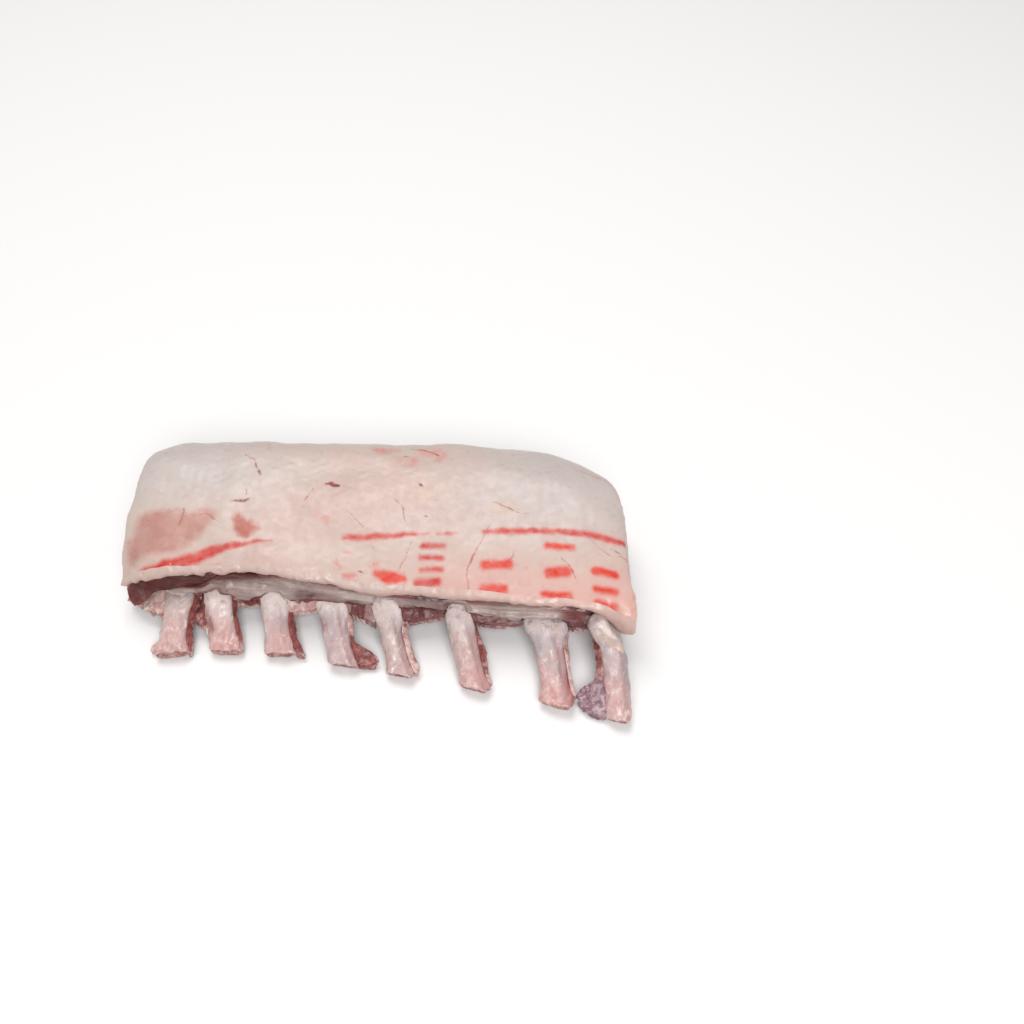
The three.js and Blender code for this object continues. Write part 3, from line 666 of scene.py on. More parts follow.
def lip_dip(x):
    clear, _ = clear_of_ribs(x)
    return LIP_DIPS[which_gap(x)] * ease(clear, 0, 5) + lip_tilt(x) * ease(clear, 0, 1.2)


def lip_depth(x):
    clear, nearest = clear_of_ribs(x)
    hanging = LIP_DEPTHS[which_gap(x)] + 0.6 * lip_tilt(x)
    return mix(LIP_ON_RIBS[nearest], hanging, ease(clear, -ARCHED[nearest], 0.7))


def cover_knots(s):
    """Forward over the ribs, up the lip, back under the wedge and the fat, and round the muscle."""
    free = 1 - ease(s, 0.9, 0.935)
    x = along(s, DEPTH)
    wavy = lip_depth(x) + 0.2 * line_noise(x, 9, 41) + 0.1 * line_noise(x, 3, 42)
    out = mix(FACE_DEPTH + 0.9, wavy, free)
    edge_depth = np.minimum(out - 0.5, ROOT_DEPTH + GAP)
    ragged = 0.5 * line_noise(x, 6, 43) + 0.3 * line_noise(x, 2.4, 44)
    dip = free * (lip_dip(x) + ease(clear_of_ribs(x)[0], 0, 3) * ragged)
    back = 4 + 0.8 * line_noise(x, 38, 49) + 0.4 * line_noise(x, 11, 50)

    def on_plate(v):
        return (v, plate_top(along(s, v), v) + GAP)

    def shelf(v):
        muscle = np.where(s < CAP_MUSCLE_END, 2 * GAP + cap_muscle_thick(s) * cap_muscle_share(s, v), 0)
        return fat_under(v) - GAP - muscle

    edge = on_plate(edge_depth)[1]
    ripple = free * (0.3 * np.sin(21 * s) + 0.15 * np.sin(47 * s + 1))
    crown = mix(edge + 1.6, np.minimum(shelf(FACE_DEPTH) - GAP - 1.4, 24), free)
    crown = np.maximum(edge + 0.9, crown)
    even = mix(out, 86.2 + 2.5 * (1 - ease(s, 0.1, 0.35)) + 0.4 * line_noise(x, 30, 48), 0.75 * free)
    lip = [
        (edge_depth + 0.25, edge + 0.1 - dip),
        (mix(out, even, 0.35) + ripple, mix(edge + 0.4 - dip, crown, 0.4)),
        (mix(FACE_DEPTH + 0.3, even + ripple, 0.7), crown),
    ]
    above, below = nose_knots(s, 1.5 * GAP)
    tip_depth, tip_height = above[3]
    return section(s, [
        on_plate(back), *[on_plate(v) for v in MEAT_DEPTHS], on_plate(edge_depth), *lip,
        *[(v, shelf(v) - GAP) for v in shelf_depths(s)[::-1]],
        (tip_depth, (tip_height + shelf(tip_depth)) / 2), *above[4:], *below,
        *[(v, eye_floor(s, v) - 2.2 * GAP) for v in (*EYE_FLOOR_DEPTHS, back + 0.4)],
    ])


def cover_relief(rings, fine, s):
    """Swellings of 9 mm, folds of 4 mm that run along the lip, and shreds of 2 mm."""
    folds = 0.25 * lumps(rings, 9, 45, (3, 1, 1)) + 0.5 * lumps(rings, 3.8, 46, (9, 1, 1))
    return ease(fine[..., 0], 79, 83) * (folds + 0.1 * rough(rings, 2.2, 47, (2.5, 1, 1)))


cover = layer(
    "rib_cover", "membrane", stations(420), cover_knots, COVER_TURN, (100, 46), lambda v: 1 + 9 * (v > 80),
    cover_relief, 0.8, ends=((0.2, 0.15, 3),) * 2,
)
print("rib cover:", faces_in(cover), "faces")

# %% [markdown]
# ## The ribs
# A lamb's rib is a flat blade in the meat and rounder towards its end. Each is one rounded oblong
# carried along a bent line: the middle follows a parabola through three named places, and the width
# goes from the buried blade through the neck at the meat to the sawn end. The saw cut slants, and on
# the last four ribs it takes a corner off. The bared part keeps shreds of its skin, so it has long
# wrinkles, a scraped hollow along one side, and a frayed rim round a sunken, dark end.

# %% Rib skins
RIB_STEPS = 60
CRISP_TIP = np.array([0.7, 0.45, 0.2, 0])
RIB_TRAITS = {  # from the first rib to the eighth
    "slant": (-1.4, -0.3, -0.6, 0.4, 0.3, 1.3, 1.3, 0.8),
    "corner": (0.4, 0.4, 0.8, 0, 1.6, 3.0, 4.6, 4.6),
    "undercut": (0.5, 0.45, 0.8, 1, 1.1, 1.15, 1.15, 1),
    "bevel": (0.06, 0.06, 0.12, 0.16, 0.22, 0.18, 0.16, 0.26),
    "groove": (0.1, 0.15, 0.2, 0.6, 0.3, 0.25, 0.6, 0.4),
    "meaty_side": (0, 0.9, 0, 0.55, 0, 0, 0, 0),
    "meaty_from": (0, 0.05, 0, 0.28, 0, 0, 0, 0),
    "meaty_to": (1, 0.75, 1, 0.5, 1, 1, 1, 1),
    # the grey on each rib's loin side is painted shade
    "grey_side": (0, 0, 0, 0.4, 0.75, 0.3, 0.6, 0.9),
    "red_side": (0.1, 0.2, 0.3, 0.3, 0.25, 0.6, 0.4, 0.15),
    "white_top": (0, 0.8, 1, 1, 1, 0.9, 0.5, 0.3),
    "veined": (0, 0, 0.3, 0.3, 0, 1, 1, 0),
    "streak": (0, 0, 0, 0, 0, 0, 1, 0),
    "cream": (1.0, 0.5, 0.1, 0.05, 0.4, 0.3, 0.35, 0.15),
    "grey": (0.1, 0.1, 0.2, 0.6, 0.15, 0.4, 0.95, 0.5),
    "blush": (0.75, 0.95, 0.65, 0.32, 0.42, 0.85, 1.0, 0.78),
}
for trait, values in RIB_TRAITS.items():
    for rib, value in zip(RIBS, values):
        rib[trait] = value


def through_three(t, places, values):
    """The parabola through three places: each value times its Lagrange factor."""
    (ta, tb, tc), (a, b, c) = places, values
    return (
        a * (t - tb) * (t - tc) / ((ta - tb) * (ta - tc))
        + b * (t - ta) * (t - tc) / ((tb - ta) * (tb - tc))
        + c * (t - ta) * (t - tb) / ((tc - ta) * (tc - tb))
    )


def rib_x(rib, v):
    return through_three(v, (0, ROOT_DEPTH, rib["reach"]), (rib["back"], rib["root"], rib["tip"]))


def rib_half(rib, v):
    """Half width: the buried blade widens to the neck, and past the meat it takes the bared width."""
    in_meat = mix(10.5, rib["neck"], ease(v, 40, ROOT_DEPTH))
    bared = mix(rib["shaft"], rib["end"], ease(v, rib["reach"] - 9, rib["reach"]))
    return mix(in_meat, bared, ease(v, ROOT_DEPTH + 1, ROOT_DEPTH + 11)) / 2


def rounded_oblong(angle):
    """A superellipse of power 2.6: cosine and sine, each raised to 2/2.6 with its sign kept."""
    waves = np.array([np.cos(angle), np.sin(angle)])
    return np.sign(waves) * np.abs(waves) ** (2 / 2.6)


def make_rib(number, rib):
    """The skin of one rib. Across and up go from -1 to 1 over its section, up being the top, and
    across the side towards the loin end."""
    reach, bare = rib["reach"], rib["bare"]
    across, up = rounded_oblong(np.arange(RIB_STEPS) * 2 * np.pi / RIB_STEPS)
    v = np.concatenate([np.linspace(2, 79, 36), np.linspace(80, reach - 1, 86), reach - CRISP_TIP])
    fray = rough(np.stack([6 * across, 4 * up, 0 * up + 40 * number], -1), 5, 60 + number)
    sawn = rib["slant"] * across - rib["corner"] * (ease(across, 0.45, 1.15) - 0.35) + 0.3
    sawn = sawn - rib["undercut"] * (1 - up) + (0.22 + 0.12 * (up > 0)) * fray
    v_all = v[:, None] + ease(v, reach - 12, reach)[:, None] * sawn
    bared = ease(v, ROOT_DEPTH - 2, ROOT_DEPTH + 6)[:, None]
    slope = bared * rib["bevel"] * np.clip((across - 0.35) / 0.65, 0, 1)
    z = underside(rib_x(rib, v)[:, None], v_all) + RIB_THICK / 2 * (1 + up) * (1 - slope)
    rings = place(rib_x(rib, v_all) + rib_half(rib, v_all) * across, v_all, z)

    near_tip = ease(v, reach - 8, reach - 1)[:, None]
    hollow = rib["groove"] * hill(across, 0.5, 0.2) * (up > 0)
    wrinkles = 0.14 * lumps(rings, 5, 80 + number, (1, 1.6, 1))
    wrinkles = wrinkles + 0.06 * lumps(rings, 2, 90 + number, (1, 3, 1))
    collar = 0.35 * ease(up, -0.2, 0.8) * hill(v, bare + 4.5, 4.5)[:, None]
    scraped = wrinkles + collar + near_tip * 0.16 * rough(rings, 3, 100 + number) - hollow * (1 - near_tip)
    relief = 0.2 * lumps(rings, 13, 70 + number) + bared * scraped
    relief = relief * ease(v, 2, 10)[:, None]
    ends = ((0, 0, 4), (-0.9, 0.3, 2.2))
    skin = Skin(
        f"rib_{number}", "bone", rings, relief, (reach - v, 0.7), RIB_STEPS // 2, ends, layers=10, floor=0.1,
    )

    depth = v[skin.station]
    tip = np.clip((depth - ROOT_DEPTH) / (reach - ROOT_DEPTH), 0, 1)
    loin_side = skin.from_ring(ease(across, 0.34, 0.56))
    first, last = rib["meaty_from"], rib["meaty_to"]
    meaty = ease(tip, first - 0.08, first + 0.05) * (1 - ease(tip, last - 0.1, last + 0.1))
    skin.mark(
        tip_share=tip,
        height=skin.from_ring(up),
        bared=ease(depth, bare - 4, bare),
        cut=skin.on_end * np.where(skin.station > 0, 1, 0.5),
        hollow=skin.from_ring(hollow) * ease(depth, ROOT_DEPTH + 2, ROOT_DEPTH + 8),
        meaty_side=rib["meaty_side"] * meaty * skin.from_ring(ease(-across, 0.4, 0.62)),
        # painted shade: grey on the loin side of the bared rib, fading out towards the tip
        grey_side=rib["grey_side"] * loin_side * (1 - ease(tip, 0.5, 0.95)),
        red_side=rib["red_side"] * loin_side * ease(tip, 0.1, 0.5),
        white_top=rib["white_top"] * hill(depth, bare + 2.5, 6),
        veined=rib["veined"] * hill(depth, bare + 2, 2.4),
        streak=rib["streak"] * skin.from_ring(ease(across, 0.45, 0.75)) * ease(depth, reach - 15, reach - 8),
        **{look: rib[look] for look in ("cream", "grey", "blush")},
    )
    return skin


rib_skins = [make_rib(number, rib) for number, rib in enumerate(RIBS, 1)]
print("ribs:", faces_in(*rib_skins), "faces")

# %% [markdown]
# ## The meat between the ribs
# A strip of meat fills each space between two ribs and ends in front in a thin web. Its section has
# five knots on each side: the walls lean against the ribs, and the middle sags a little above and
# below. Past the root depth the same section goes on forward, further beside one rib than beside the
# other, and its front edge is torn. The last strip has no web.

# %% Meat strips
WEB_FILLET = 3.5
STRIP_TURN = 5
STRIP_HALF = 44
WALL_ACROSS, WALL_UP = rounded_oblong(np.radians([315, 345, 15, 45]))
# the last field is how much painted shade darkens the front of each web
STRIPS = table(  # the web's reach is given beside the left rib, midway and beside the right rib
    "web torn pale rim dusk",
    ((3, 8, 12), 1.1, (0.9, 0.9), 1, 0), ((2, 2, 2), 0.6, (0.2, 0.4), 1, 0.2),
    ((3, 3, 2), 0.5, (0.05, 0.2), 1, 0.3), ((5, 4, 2.6), 0.35, (0.85, 0.95), 1, 0),
    ((3, 5.5, 7.5), 0.5, (0, 0.75), 1, 0.5),
    ((5.5, 3.8, 0.8), 0.3, (0.05, 0.2), 0.5, 0.7), ((2.8, 3.5, 1.2), 0.3, (0, 0.15), 0.5, 0.65),
    ((2, 1.5, 1), 0.12, (0, 0), 1, 0.85), ((0, 0, 0), 0, (0.2, 0.2), 1, 0),
)


def wall_knots(rib, side, end_at, v, reach, height_at):
    """Four knots up one wall: against a rib's rounded side, or up the cut end of the rack."""
    depth = v + reach
    knots = []
    for across, up in zip(WALL_ACROSS, WALL_UP):
        share = RIB_THICK / 2 * (1 + up)
        if rib is None:
            x = foot = end_at(depth)
            room = height_at(x)
        else:
            foot = rib_x(rib, depth)
            x = foot + side * (rib_half(rib, depth) * np.where(v > ROOT_DEPTH, 1, across) + 0.08 * reach)
            room = height_at(x + side * WEB_FILLET)
        knots.append(np.stack([x, depth, underside(foot, depth) + np.minimum(share, room)], -1))
    return knots


def strip_knots(k, v, reach, thin):
    """Ten knots round the strip k, at depths v and with the web's three reaches."""
    left, right = RIBS[k - 1] if k > 0 else None, RIBS[k] if k < len(RIBS) else None

    def height_at(x):
        under_lip = (plate_thick(x) - lip_dip(x) - 0.3) * (1 - 0.2 * np.maximum(thin - 1, 0))
        return mix(plate_thick(x) - 0.1, under_lip, np.minimum(thin, 1))

    walls_left = wall_knots(left, 1, shoulder_end, v, reach[0], height_at)
    walls_right = wall_knots(right, -1, loin_end, v, reach[2], height_at)
    x = (walls_left[1][:, 0] + walls_right[1][:, 0]) / 2
    depth = v + reach[1]
    top, low = np.minimum(RIB_THICK / 2 * 1.94, height_at(x)), RIB_THICK / 2 * 0.34
    above, below = (np.stack([x, depth, underside(x, depth) + z], -1) for z in (top, low))
    return np.stack([*walls_left, above, *walls_right[::-1], below], axis=1)


def read_rings(knots, station, turn, counts):
    """Closed rings read at the same knot numbers u, which suit the given station."""
    u = ring_steps(knots[station][:, [0, 2]], turn, counts)
    return u, flow_at(knots, u, closed=True)


def make_strip(k, strip):
    """Thin goes from 0 in the meat to 1 where the strip slips under the lip and 2 at the web's edge."""
    v = np.concatenate([np.linspace(2, ROOT_DEPTH, 50), np.full(30, ROOT_DEPTH + 0.05)])
    thin = np.concatenate([np.zeros(50), np.linspace(0.3, 1, 4), np.linspace(1.05, 2, 26)])
    if not any(strip["web"]):
        v, thin = np.minimum(v, ROOT_DEPTH - v / 30)[:50], thin[:50]
    shares = np.clip(thin - 1, 0, 1)
    knots = strip_knots(k, v, [reach * shares for reach in strip["web"]], thin)
    _, fine = read_rings(knots, 10, STRIP_TURN, (STRIP_HALF, STRIP_HALF))
    torn = shares[:, None] * (strip["torn"] * rough(fine, 3.4, 120 + k) - 0.3)
    rings = place(fine[..., 0], fine[..., 1] + torn, fine[..., 2])
    relief = 0.14 * lumps(rings, 7, 130 + k) + 0.1 * rough(rings, 3, 140 + k, (1, 3, 1))
    relief = relief * ease(v, 2, 8)[:, None]
    crisp, ends = ((2 - thin) * 4, 0.5), ((0, 0, 4), (0.5, 0.45, 2.5))
    skin = Skin(f"between_ribs_{k}", "rib_meat", rings, relief, crisp, STRIP_HALF, ends, floor=0.3)

    x, depth = skin.body()
    low = 1 - ease(skin.points[:, 2] - underside(x, depth), 1.6, 3.4)
    to_side = np.abs(2 * (x - LEFT_EDGES[k]) / (RIGHT_EDGES[k] - LEFT_EDGES[k]) - 1)
    in_front = ease(depth, 74, 84)
    skin.mark(
        rim=strip["rim"] * ease(thin[skin.station], 1.6, 2) * low,
        lower=(skin.round > STRIP_HALF) | (skin.round < 6),
        pale=mix(0.3, mix(*strip["pale"], ease(to_side, 0.3, 0.85)), in_front),
        # painted shade on the web in front, where it lies between the ribs under the cover
        dusk=strip["dusk"] * in_front,
    )
    return skin


strips = [make_strip(k, strip) for k, strip in enumerate(STRIPS)]
print("meat strips:", faces_in(*strips), "faces")

# %% [markdown]
# ## Scraps along the bared ribs
# Frenching leaves thin strips of meat and skin along the sides. Each is a narrow strip that hugs the
# rib, and is wider where it came loose. The fourth and the eighth rib keep a real flap near the tip.
# A band of sinew runs from under the fat's hanging corner onto the last rib.

# %% Scraps and the sinew
SCRAPS = table(
    "rib side start stop width flare flare_at tall pale",
    (1, -1, 17, 1, 0.6, 2.4, 0.9, 4.5, 0.7), (1, 1, 1, 1.5, 1.6, 0, 1, 5, 0.1),
    (2, -1, 2, 6, 1.4, 3, 0.56, 4.5, 0.4), (2, 1, 1, 2, 1.5, 0, 1, 4.5, 0.1),
    (3, 1, 2, 0.5, 1.8, 2, 0.88, 4.6, 0.1), (4, 1, 3, 1, 1, 8.6, 0.82, 4.4, 0),
    (5, 1, 3, 1.8, 2, 1, 0.9, 5, 0.5), (6, 1, 3, 3, 1.8, 0, 1, 4.4, 0.35),
    (7, 1, 4, 4, 1.2, 0, 1, 5, 0.5), (8, -1, 5, 0.4, 1.9, 9.4, 0.8, 5.4, 0.4),
)
SCRAP_SECTION = ((0, 0.08), (0, 1), (0.45, 0.96), (0.92, 0.72), (1, 0.36), (0.7, 0))
SCRAP_TURN = 3
SCRAP_HALF = 22
STRAP_SECTION = ((-1, 0.25), (-0.6, 0), (0.6, 0), (1, 0.25), (0.6, 1), (-0.6, 1))
STRAP_TURN = 3
STRAP_STEPS = (20, 28)
STRAP_LINE = np.array([  # x, depth, height of its underside, half width, thickness
    (103.8, 83.5, 21.2, 2.4, 3.2), (102.2, 86.4, 20.7, 4.2, 4.0), (103.0, 90, 19.0, 5.2, 4.0),
    (106.2, 93.5, 16.8, 5.8, 3.4), (109.0, 96.6, 14.0, 5.3, 2.3), (110.2, 100, 11.8, 4.3, 1.4),
    (111.0, 105, 9.8, 3.2, 1.2),
])


def carried(outline, x, v, z, wide, tall):
    """Knots of an outline (across, up) carried along a line, wide and tall at each place."""
    knots = [np.stack([x + wide * across, v, z + tall * up], -1) for across, up in outline]
    return np.stack(knots, axis=1)


def make_scrap(number, scrap):
    """A scrap sinks 0.3 mm into its rib's side. Where it is wide it is loose, so it is torn and ruffled.
    The eighth rib's flap is purple. The fourth rib's scrap is pale at its root, the others at the tip."""
    rib, side = RIBS[scrap["rib"] - 1], scrap["side"]
    t = np.concatenate([[0, 0.01], np.linspace(0.03, 0.97, 56), [0.99, 1]])
    v = mix(ROOT_DEPTH + scrap["start"], rib["reach"] - scrap["stop"], t)
    inner = rib_x(rib, v) + side * (rib_half(rib, v) - 0.3)
    body = scrap["width"] * np.sin(np.pi * (0.16 + 0.7 * t)) + 0.4 * np.sin(9 * t + 2 * (scrap["rib"] - 1))
    wide = 1.0 + body + scrap["flare"] * hill(t, scrap["flare_at"], 0.2, 3)
    tall = scrap["tall"] * (0.75 + 0.25 * np.sin(np.pi * t)) - 0.06 * wide
    knots = carried(SCRAP_SECTION, inner, v, underside(inner, v) + 0.5, side * wide, tall)
    u, fine = read_rings(knots, 30, SCRAP_TURN, (SCRAP_HALF, SCRAP_HALF))
    outer = np.interp(u, range(7), [*(across for across, _ in SCRAP_SECTION), 0])
    loose = ease(wide, 3.5, 7)[:, None]
    torn = outer * 0.4 * rough(fine, 5, 150 + number) * np.minimum(1, wide / 3)[:, None]
    torn = torn + outer * 0.7 * loose * rough(fine, 3, 160 + number)
    ruffle = outer * loose * 0.6 * rough(fine, 4.5, 165 + number)
    rings = place(fine[..., 0] + side * torn, fine[..., 1] + 0.5 * torn, fine[..., 2] + ruffle)
    relief = 0.1 * rough(rings, 4, 170 + number, (1, 2, 1)) * outer
    name = f"rib_{scrap['rib']}_scrap_{'shoulder' if side < 0 else 'loin'}_side"
    crisp, ends = (np.minimum(t, 1 - t) * 30, 0.8), ((0.2, 0.2, 2),) * 2
    skin = Skin(name, "rib_meat", rings, relief, crisp, SCRAP_HALF, ends, layers=5, floor=0.25)

    at = t[skin.station]
    skin.mark(
        rim=skin.from_ring(ease(outer, 0.9, 1), 0.5),
        purple=(scrap["rib"] == 8) * ease(wide[skin.station], 2, 6),
        end_pale=1.5 - 1.5 * ease(at, 0.3, 0.6) if scrap["rib"] == 4 else ease(at, 0.72, 1),
        pale=scrap["pale"],
    )
    return skin


def make_strap():
    """The band of sinew. It is as bare all over as the top of a rib."""
    t = np.linspace(0, 1, 70)
    line = flow_at(STRAP_LINE, t * (len(STRAP_LINE) - 1))
    _, fine = read_rings(carried(STRAP_SECTION, *line.T), 30, STRAP_TURN, STRAP_STEPS)
    rings = place(*np.moveaxis(fine, -1, 0))
    relief = 0.15 * lumps(rings, 6, 190) + 0.05 * rough(rings, 2, 191, (1, 4, 1))
    crisp, ends = (np.minimum(t, 1 - t) * 26, 0.8), ((0.2, 0.1, 3),) * 2
    skin = Skin("sinew_strap", "membrane", rings, relief, crisp, STRAP_STEPS[0], ends, layers=6)
    tip = (skin.body()[1] - ROOT_DEPTH) / (RIBS[-1]["reach"] - ROOT_DEPTH)
    skin.mark(bared=1, height=1, tip_share=tip, cream=1, grey=0.3, blush=0.9)
    return skin


scraps = [make_scrap(number, scrap) for number, scrap in enumerate(SCRAPS)]
strap = make_strap()
print("scraps:", len(scraps), "and one strap")

# %% [markdown]
# ## Marks on the fat
# On the fat lie red ink stripes from a stamping roller, blotches of the same ink, fresher in some
# places, fine blood vessels, a patch where the fat is thin and the meat shows tan through it, a bruise,
# pink smears and two beige clouds. Each is kept as a distance in mm on the points of the skin. The
# finish turns a distance into an edge, so edges come out finer than the mesh, and noise can make them
# worn. The stamp's blotches are plain bars, ovals and dots.

# %% Distances to the marks
STRIPES = [
    [(-107, -25.0, 2.4), (-101.1, -24.2, 4.2), (-93.9, -22.6, 5.4), (-87.2, -20.6, 5.4), (-78.4, -17.2, 5.2),
     (-72, -14.3, 4.8), (-66.4, -12.4, 3.8), (-61.1, -11, 3), (-54.6, -9.4, 2.2), (-48, -8.1, 1.2)],
    [(-15, -3.4, 2), (-8.4, -2.3, 3), (0.6, -1.3, 3.2), (9.4, 0, 2.8), (14.3, 0.9, 2.2), (22.8, 1.6, 0.6)],
    [(26, 1.9, 0.6), (30.3, 2.8, 1.8), (34.7, 3.3, 0.8)],
    [(46.6, 5.0, 2), (55.9, 5.8, 3), (67, 7.1, 3.4), (82.2, 8, 3.4), (98.3, 7.6, 3.2), (113, 5.8, 2.8)],
]
WORN_BLOTCHES = [
    [(20.5, -4.0, 3.2), (29.5, -3.0, 2.4)], [(20, -9.2, 2.2), (29, -8.4, 3.4)],
    [(21, -14.2, 1.8), (30, -13.4, 2.4)], [(20, -19.5, 4), (29, -18.6, 3.4)],
]
FRESH_BLOTCHES = [
    [(1.5, -17.4, 3.4), (7, -19, 5.4), (13, -18.4, 3.6)],
    [(48.5, -10.2, 4), (59.5, -8.9, 4.4)], [(49.5, -20.2, 4.4), (58.5, -19.2, 3.6)],
    [(75.5, 0.2, 2.8), (86.5, 0.8, 3.6)], [(77, -10.9, 4.4), (84.5, -10.1, 4.8)],
    [(75.5, -19.6, 2.6), (86.5, -20, 3.6)], [(97.5, -8.4, 4.2), (106.5, -9, 3.6)],
    [(98, -16, 2.8), (107, -16.6, 3.4)], [(99.5, -21.8, 4.2), (106.5, -22.4, 3.4)],
]
SMEARS = [
    [(-17, -13.6, 3), (-16, -16.6, 3.4)], [(-13.4, -20.4, 2.4), (-8, -20, 3.6)],
    [(-2.4, -14.2, 2), (2.4, -13.4, 1.6)], [(-14.6, -10.4, 1.6), (-12.4, -9.8, 1)],
    [(-82, -23, 1.6), (-75, -22, 2.6), (-69, -20.4, 1.4)],
    [(84.2, 44.1, 0.6), (91.9, 42.4, 1.2), (99.5, 40.5, 1.2), (105, 33, 0.4), (110.5, 20, 0)],
    [(115.0, -5, 0.4), (115.6, -11, 1.2), (115.6, -18, 0.6)],
]
BLUSHES = [
    [(14, 48, 6), (21, 46, 7)], [(3, 41, 5), (8, 40, 7)], [(-7, 46, 6), (-3, 47, 6)],
    [(-30, 6, 2), (-24, 4.6, 2.6)],
]
BEIGES = [[(14, 20, 7), (18, 22, 9)], [(50, 17, 6), (57, 18, 8)]]
HAIRLINE = 0.3
VESSELS = [
    [(6.5, 49.5, 0.4), (11, 48.6, 0.9), (15, 47.4, 0.7), (20, 45.8, 1.0)], [(3.5, 43.6, 0.8), (7, 43, 0.4)],
    [(49.6, 10.5, 0.6), (47.4, 5.4, 0.4), (45.5, -0.5, 0.7), (42.9, -7.0, 0.9), (42.1, -12, 0.8),
     (42.1, -16.8, 0.6), (42.7, -21.9, 0.5)],
    [(82.3, -3.9), (87.2, -9.1), (90.7, -14.6)], [(93.1, 6), (98.7, 2.5), (102.9, -0.5), (111.5, -0.6)],
    [(49.4, 20.4), (58, 17), (67.2, 15.3)], [(4.9, 16.9), (8.6, 11.1), (11.8, 5.5)],
    [(-90.6, 3.8), (-90.3, -1), (-90.9, -6.3)], [(-72, -2), (-80, 1.5), (-86, 0)],
    [(-70, 35), (-65, 32.4), (-62.6, 29), (-60.4, 26)], [(-16.4, 9.4), (-12, 6), (-7.6, 2.6)],
    [(-3.8, -3.6), (-1.4, -8.2), (0, -12), (0.6, -15.4)],
    [(15.4, -3), (13, -8.4), (11.6, -12.6), (11.4, -16)],
    [(61, -3), (60, -6.4), (57.6, -9)], [(103, 3.4), (108, 0.4), (113, -4)],
    [(-34, 19), (-36, 15.4), (-37.4, 12.4)], [(-92.1, -9), (-91.4, -9.4)],
]
CRACKS = [
    [(-71.4, 9, 0.1), (-66.8, 9.2, 0.5), (-63.6, 9.6, 0.7), (-62, 10.8, 0.5)],
    [(-64, 13.6, 0.1), (-64.6, 15.2, 0.3)], [(-28.8, 23.5, 0.9), (-26.4, 23.4, 1.7), (-22.6, 21.8, 1.2)],
    [(-60.8, 26, 0.9), (-60, 24.2, 0.4)], [(14.6, 25.6, 1.0), (15.4, 25.3, 0.6)],
    [(19.8, 10.2, 0.7), (20.4, 9.8, 0.6)], [(-6.2, -17.6, 0.8), (-5.6, -17.8, 0.6)],
]
THIN_FAT = [
    (-116.6, -10.6), (-111.3, 1.6), (-101.8, 3.2), (-76.7, 6.1), (-72.8, 3.4), (-74.3, -4.2), (-82.1, -10.4),
    (-89.9, -17.4), (-112.2, -21.8),
]
BRUISE = [(-66.5, 0.2), (-64.4, 3.2), (-59.1, 0), (-54.4, -2.5), (-59.5, -6.3), (-64.4, -5.3)]


def to_path(at, path):
    """Distance from each point to a broken line with rows (x, y, width), less half the width: the
    share along a piece is (at - p).d / d.d, held between 0 and 1, and the least distance counts."""
    path = np.array([(*p, HAIRLINE)[:3] for p in path], float)
    start, step = path[:-1], np.diff(path, axis=0)
    share = ((at[:, None] - start[:, :2]) * step[:, :2]).sum(-1) / (step[:, :2] ** 2).sum(-1)
    near = start + np.clip(share, 0, 1)[..., None] * step
    return (np.linalg.norm(at[:, None] - near[..., :2], axis=-1) - near[..., 2] / 2).min(axis=1)


def to_loop(at, loop):
    """Distance to a closed loop, negative inside. A point is inside when a line to its right crosses
    the loop an odd number of times."""
    a = np.array(loop, float)
    b = np.roll(a, -1, axis=0)
    x, y = at[:, :1], at[:, 1:]
    spans = (a[:, 1] > y) != (b[:, 1] > y)
    crossing = spans & (x < (b[:, 0] - a[:, 0]) * (y - a[:, 1]) / (b[:, 1] - a[:, 1]) + a[:, 0])
    rim = to_path(at, [(*p, 0) for p in (*loop, loop[0])])
    return np.where(crossing.sum(axis=1) % 2, -rim, rim)


def least(at, paths):
    """Distance from each point to the nearest of several broken lines."""
    return np.min([to_path(at, path) for path in paths], axis=0)


UNDERSIDE_START = 170
FAR = 99.0
outside = (fat_cap.round >= 0) & (fat_cap.round < UNDERSIDE_START)
seen = fat_cap.points[outside]
wander = [0.4 * lumps(seen, 9, 200 + i) + 0.12 * rough(seen, 3, 210 + i) for i in range(2)]
wander = np.stack(wander, -1)
steady = seen[:, :2] + 0.3 * wander
seen = seen[:, :2] + wander
distances = {
    "ink": least(steady, STRIPES + WORN_BLOTCHES + FRESH_BLOTCHES),
    "fresh_ink": least(steady, FRESH_BLOTCHES),
    "smear": least(seen, SMEARS),
    "pink": least(seen, BLUSHES),
    "beige": least(seen, BEIGES),
    "vessel": least(seen, VESSELS),
    "crack": least(seen, CRACKS),
    "thin_fat": to_loop(seen, THIN_FAT),
    "bruise": to_loop(seen, BRUISE),
}
for name, distance in distances.items():
    everywhere = np.full(len(outside), FAR)
    everywhere[outside] = distance
    fat_cap.mark(**{name: everywhere})
# cut marks the fat's cut ends and inner face; lip marks the front face of the lip, where the fat turns
# under, for a painted shade
fat_cap.mark(
    cut=np.maximum(fat_cap.on_end, fat_cap.round >= UNDERSIDE_START),
    lip=fat_cap.from_ring(ease(fat_cap.u, 9.3, 10.7) * (fat_cap.u < FAT_TURN + 0.5)),
)
print("marks on the fat:", len(distances), "kinds on", int(outside.sum()), "points")

# %% [markdown]
# ## Finishes
# Raw meat is wet, so light enters it, spreads a millimetre or two and comes back softer and redder; on
# top lies a thin film of water with its own highlights. Each finish is one Principled shader with
# subsurface scattering and a coat. Its colour is built up in layers: one tint after another is laid
# over the last, with a share mixed from noises of named sizes and from the numbers that lie on the
# points. Its bump carries what is finer than the mesh.

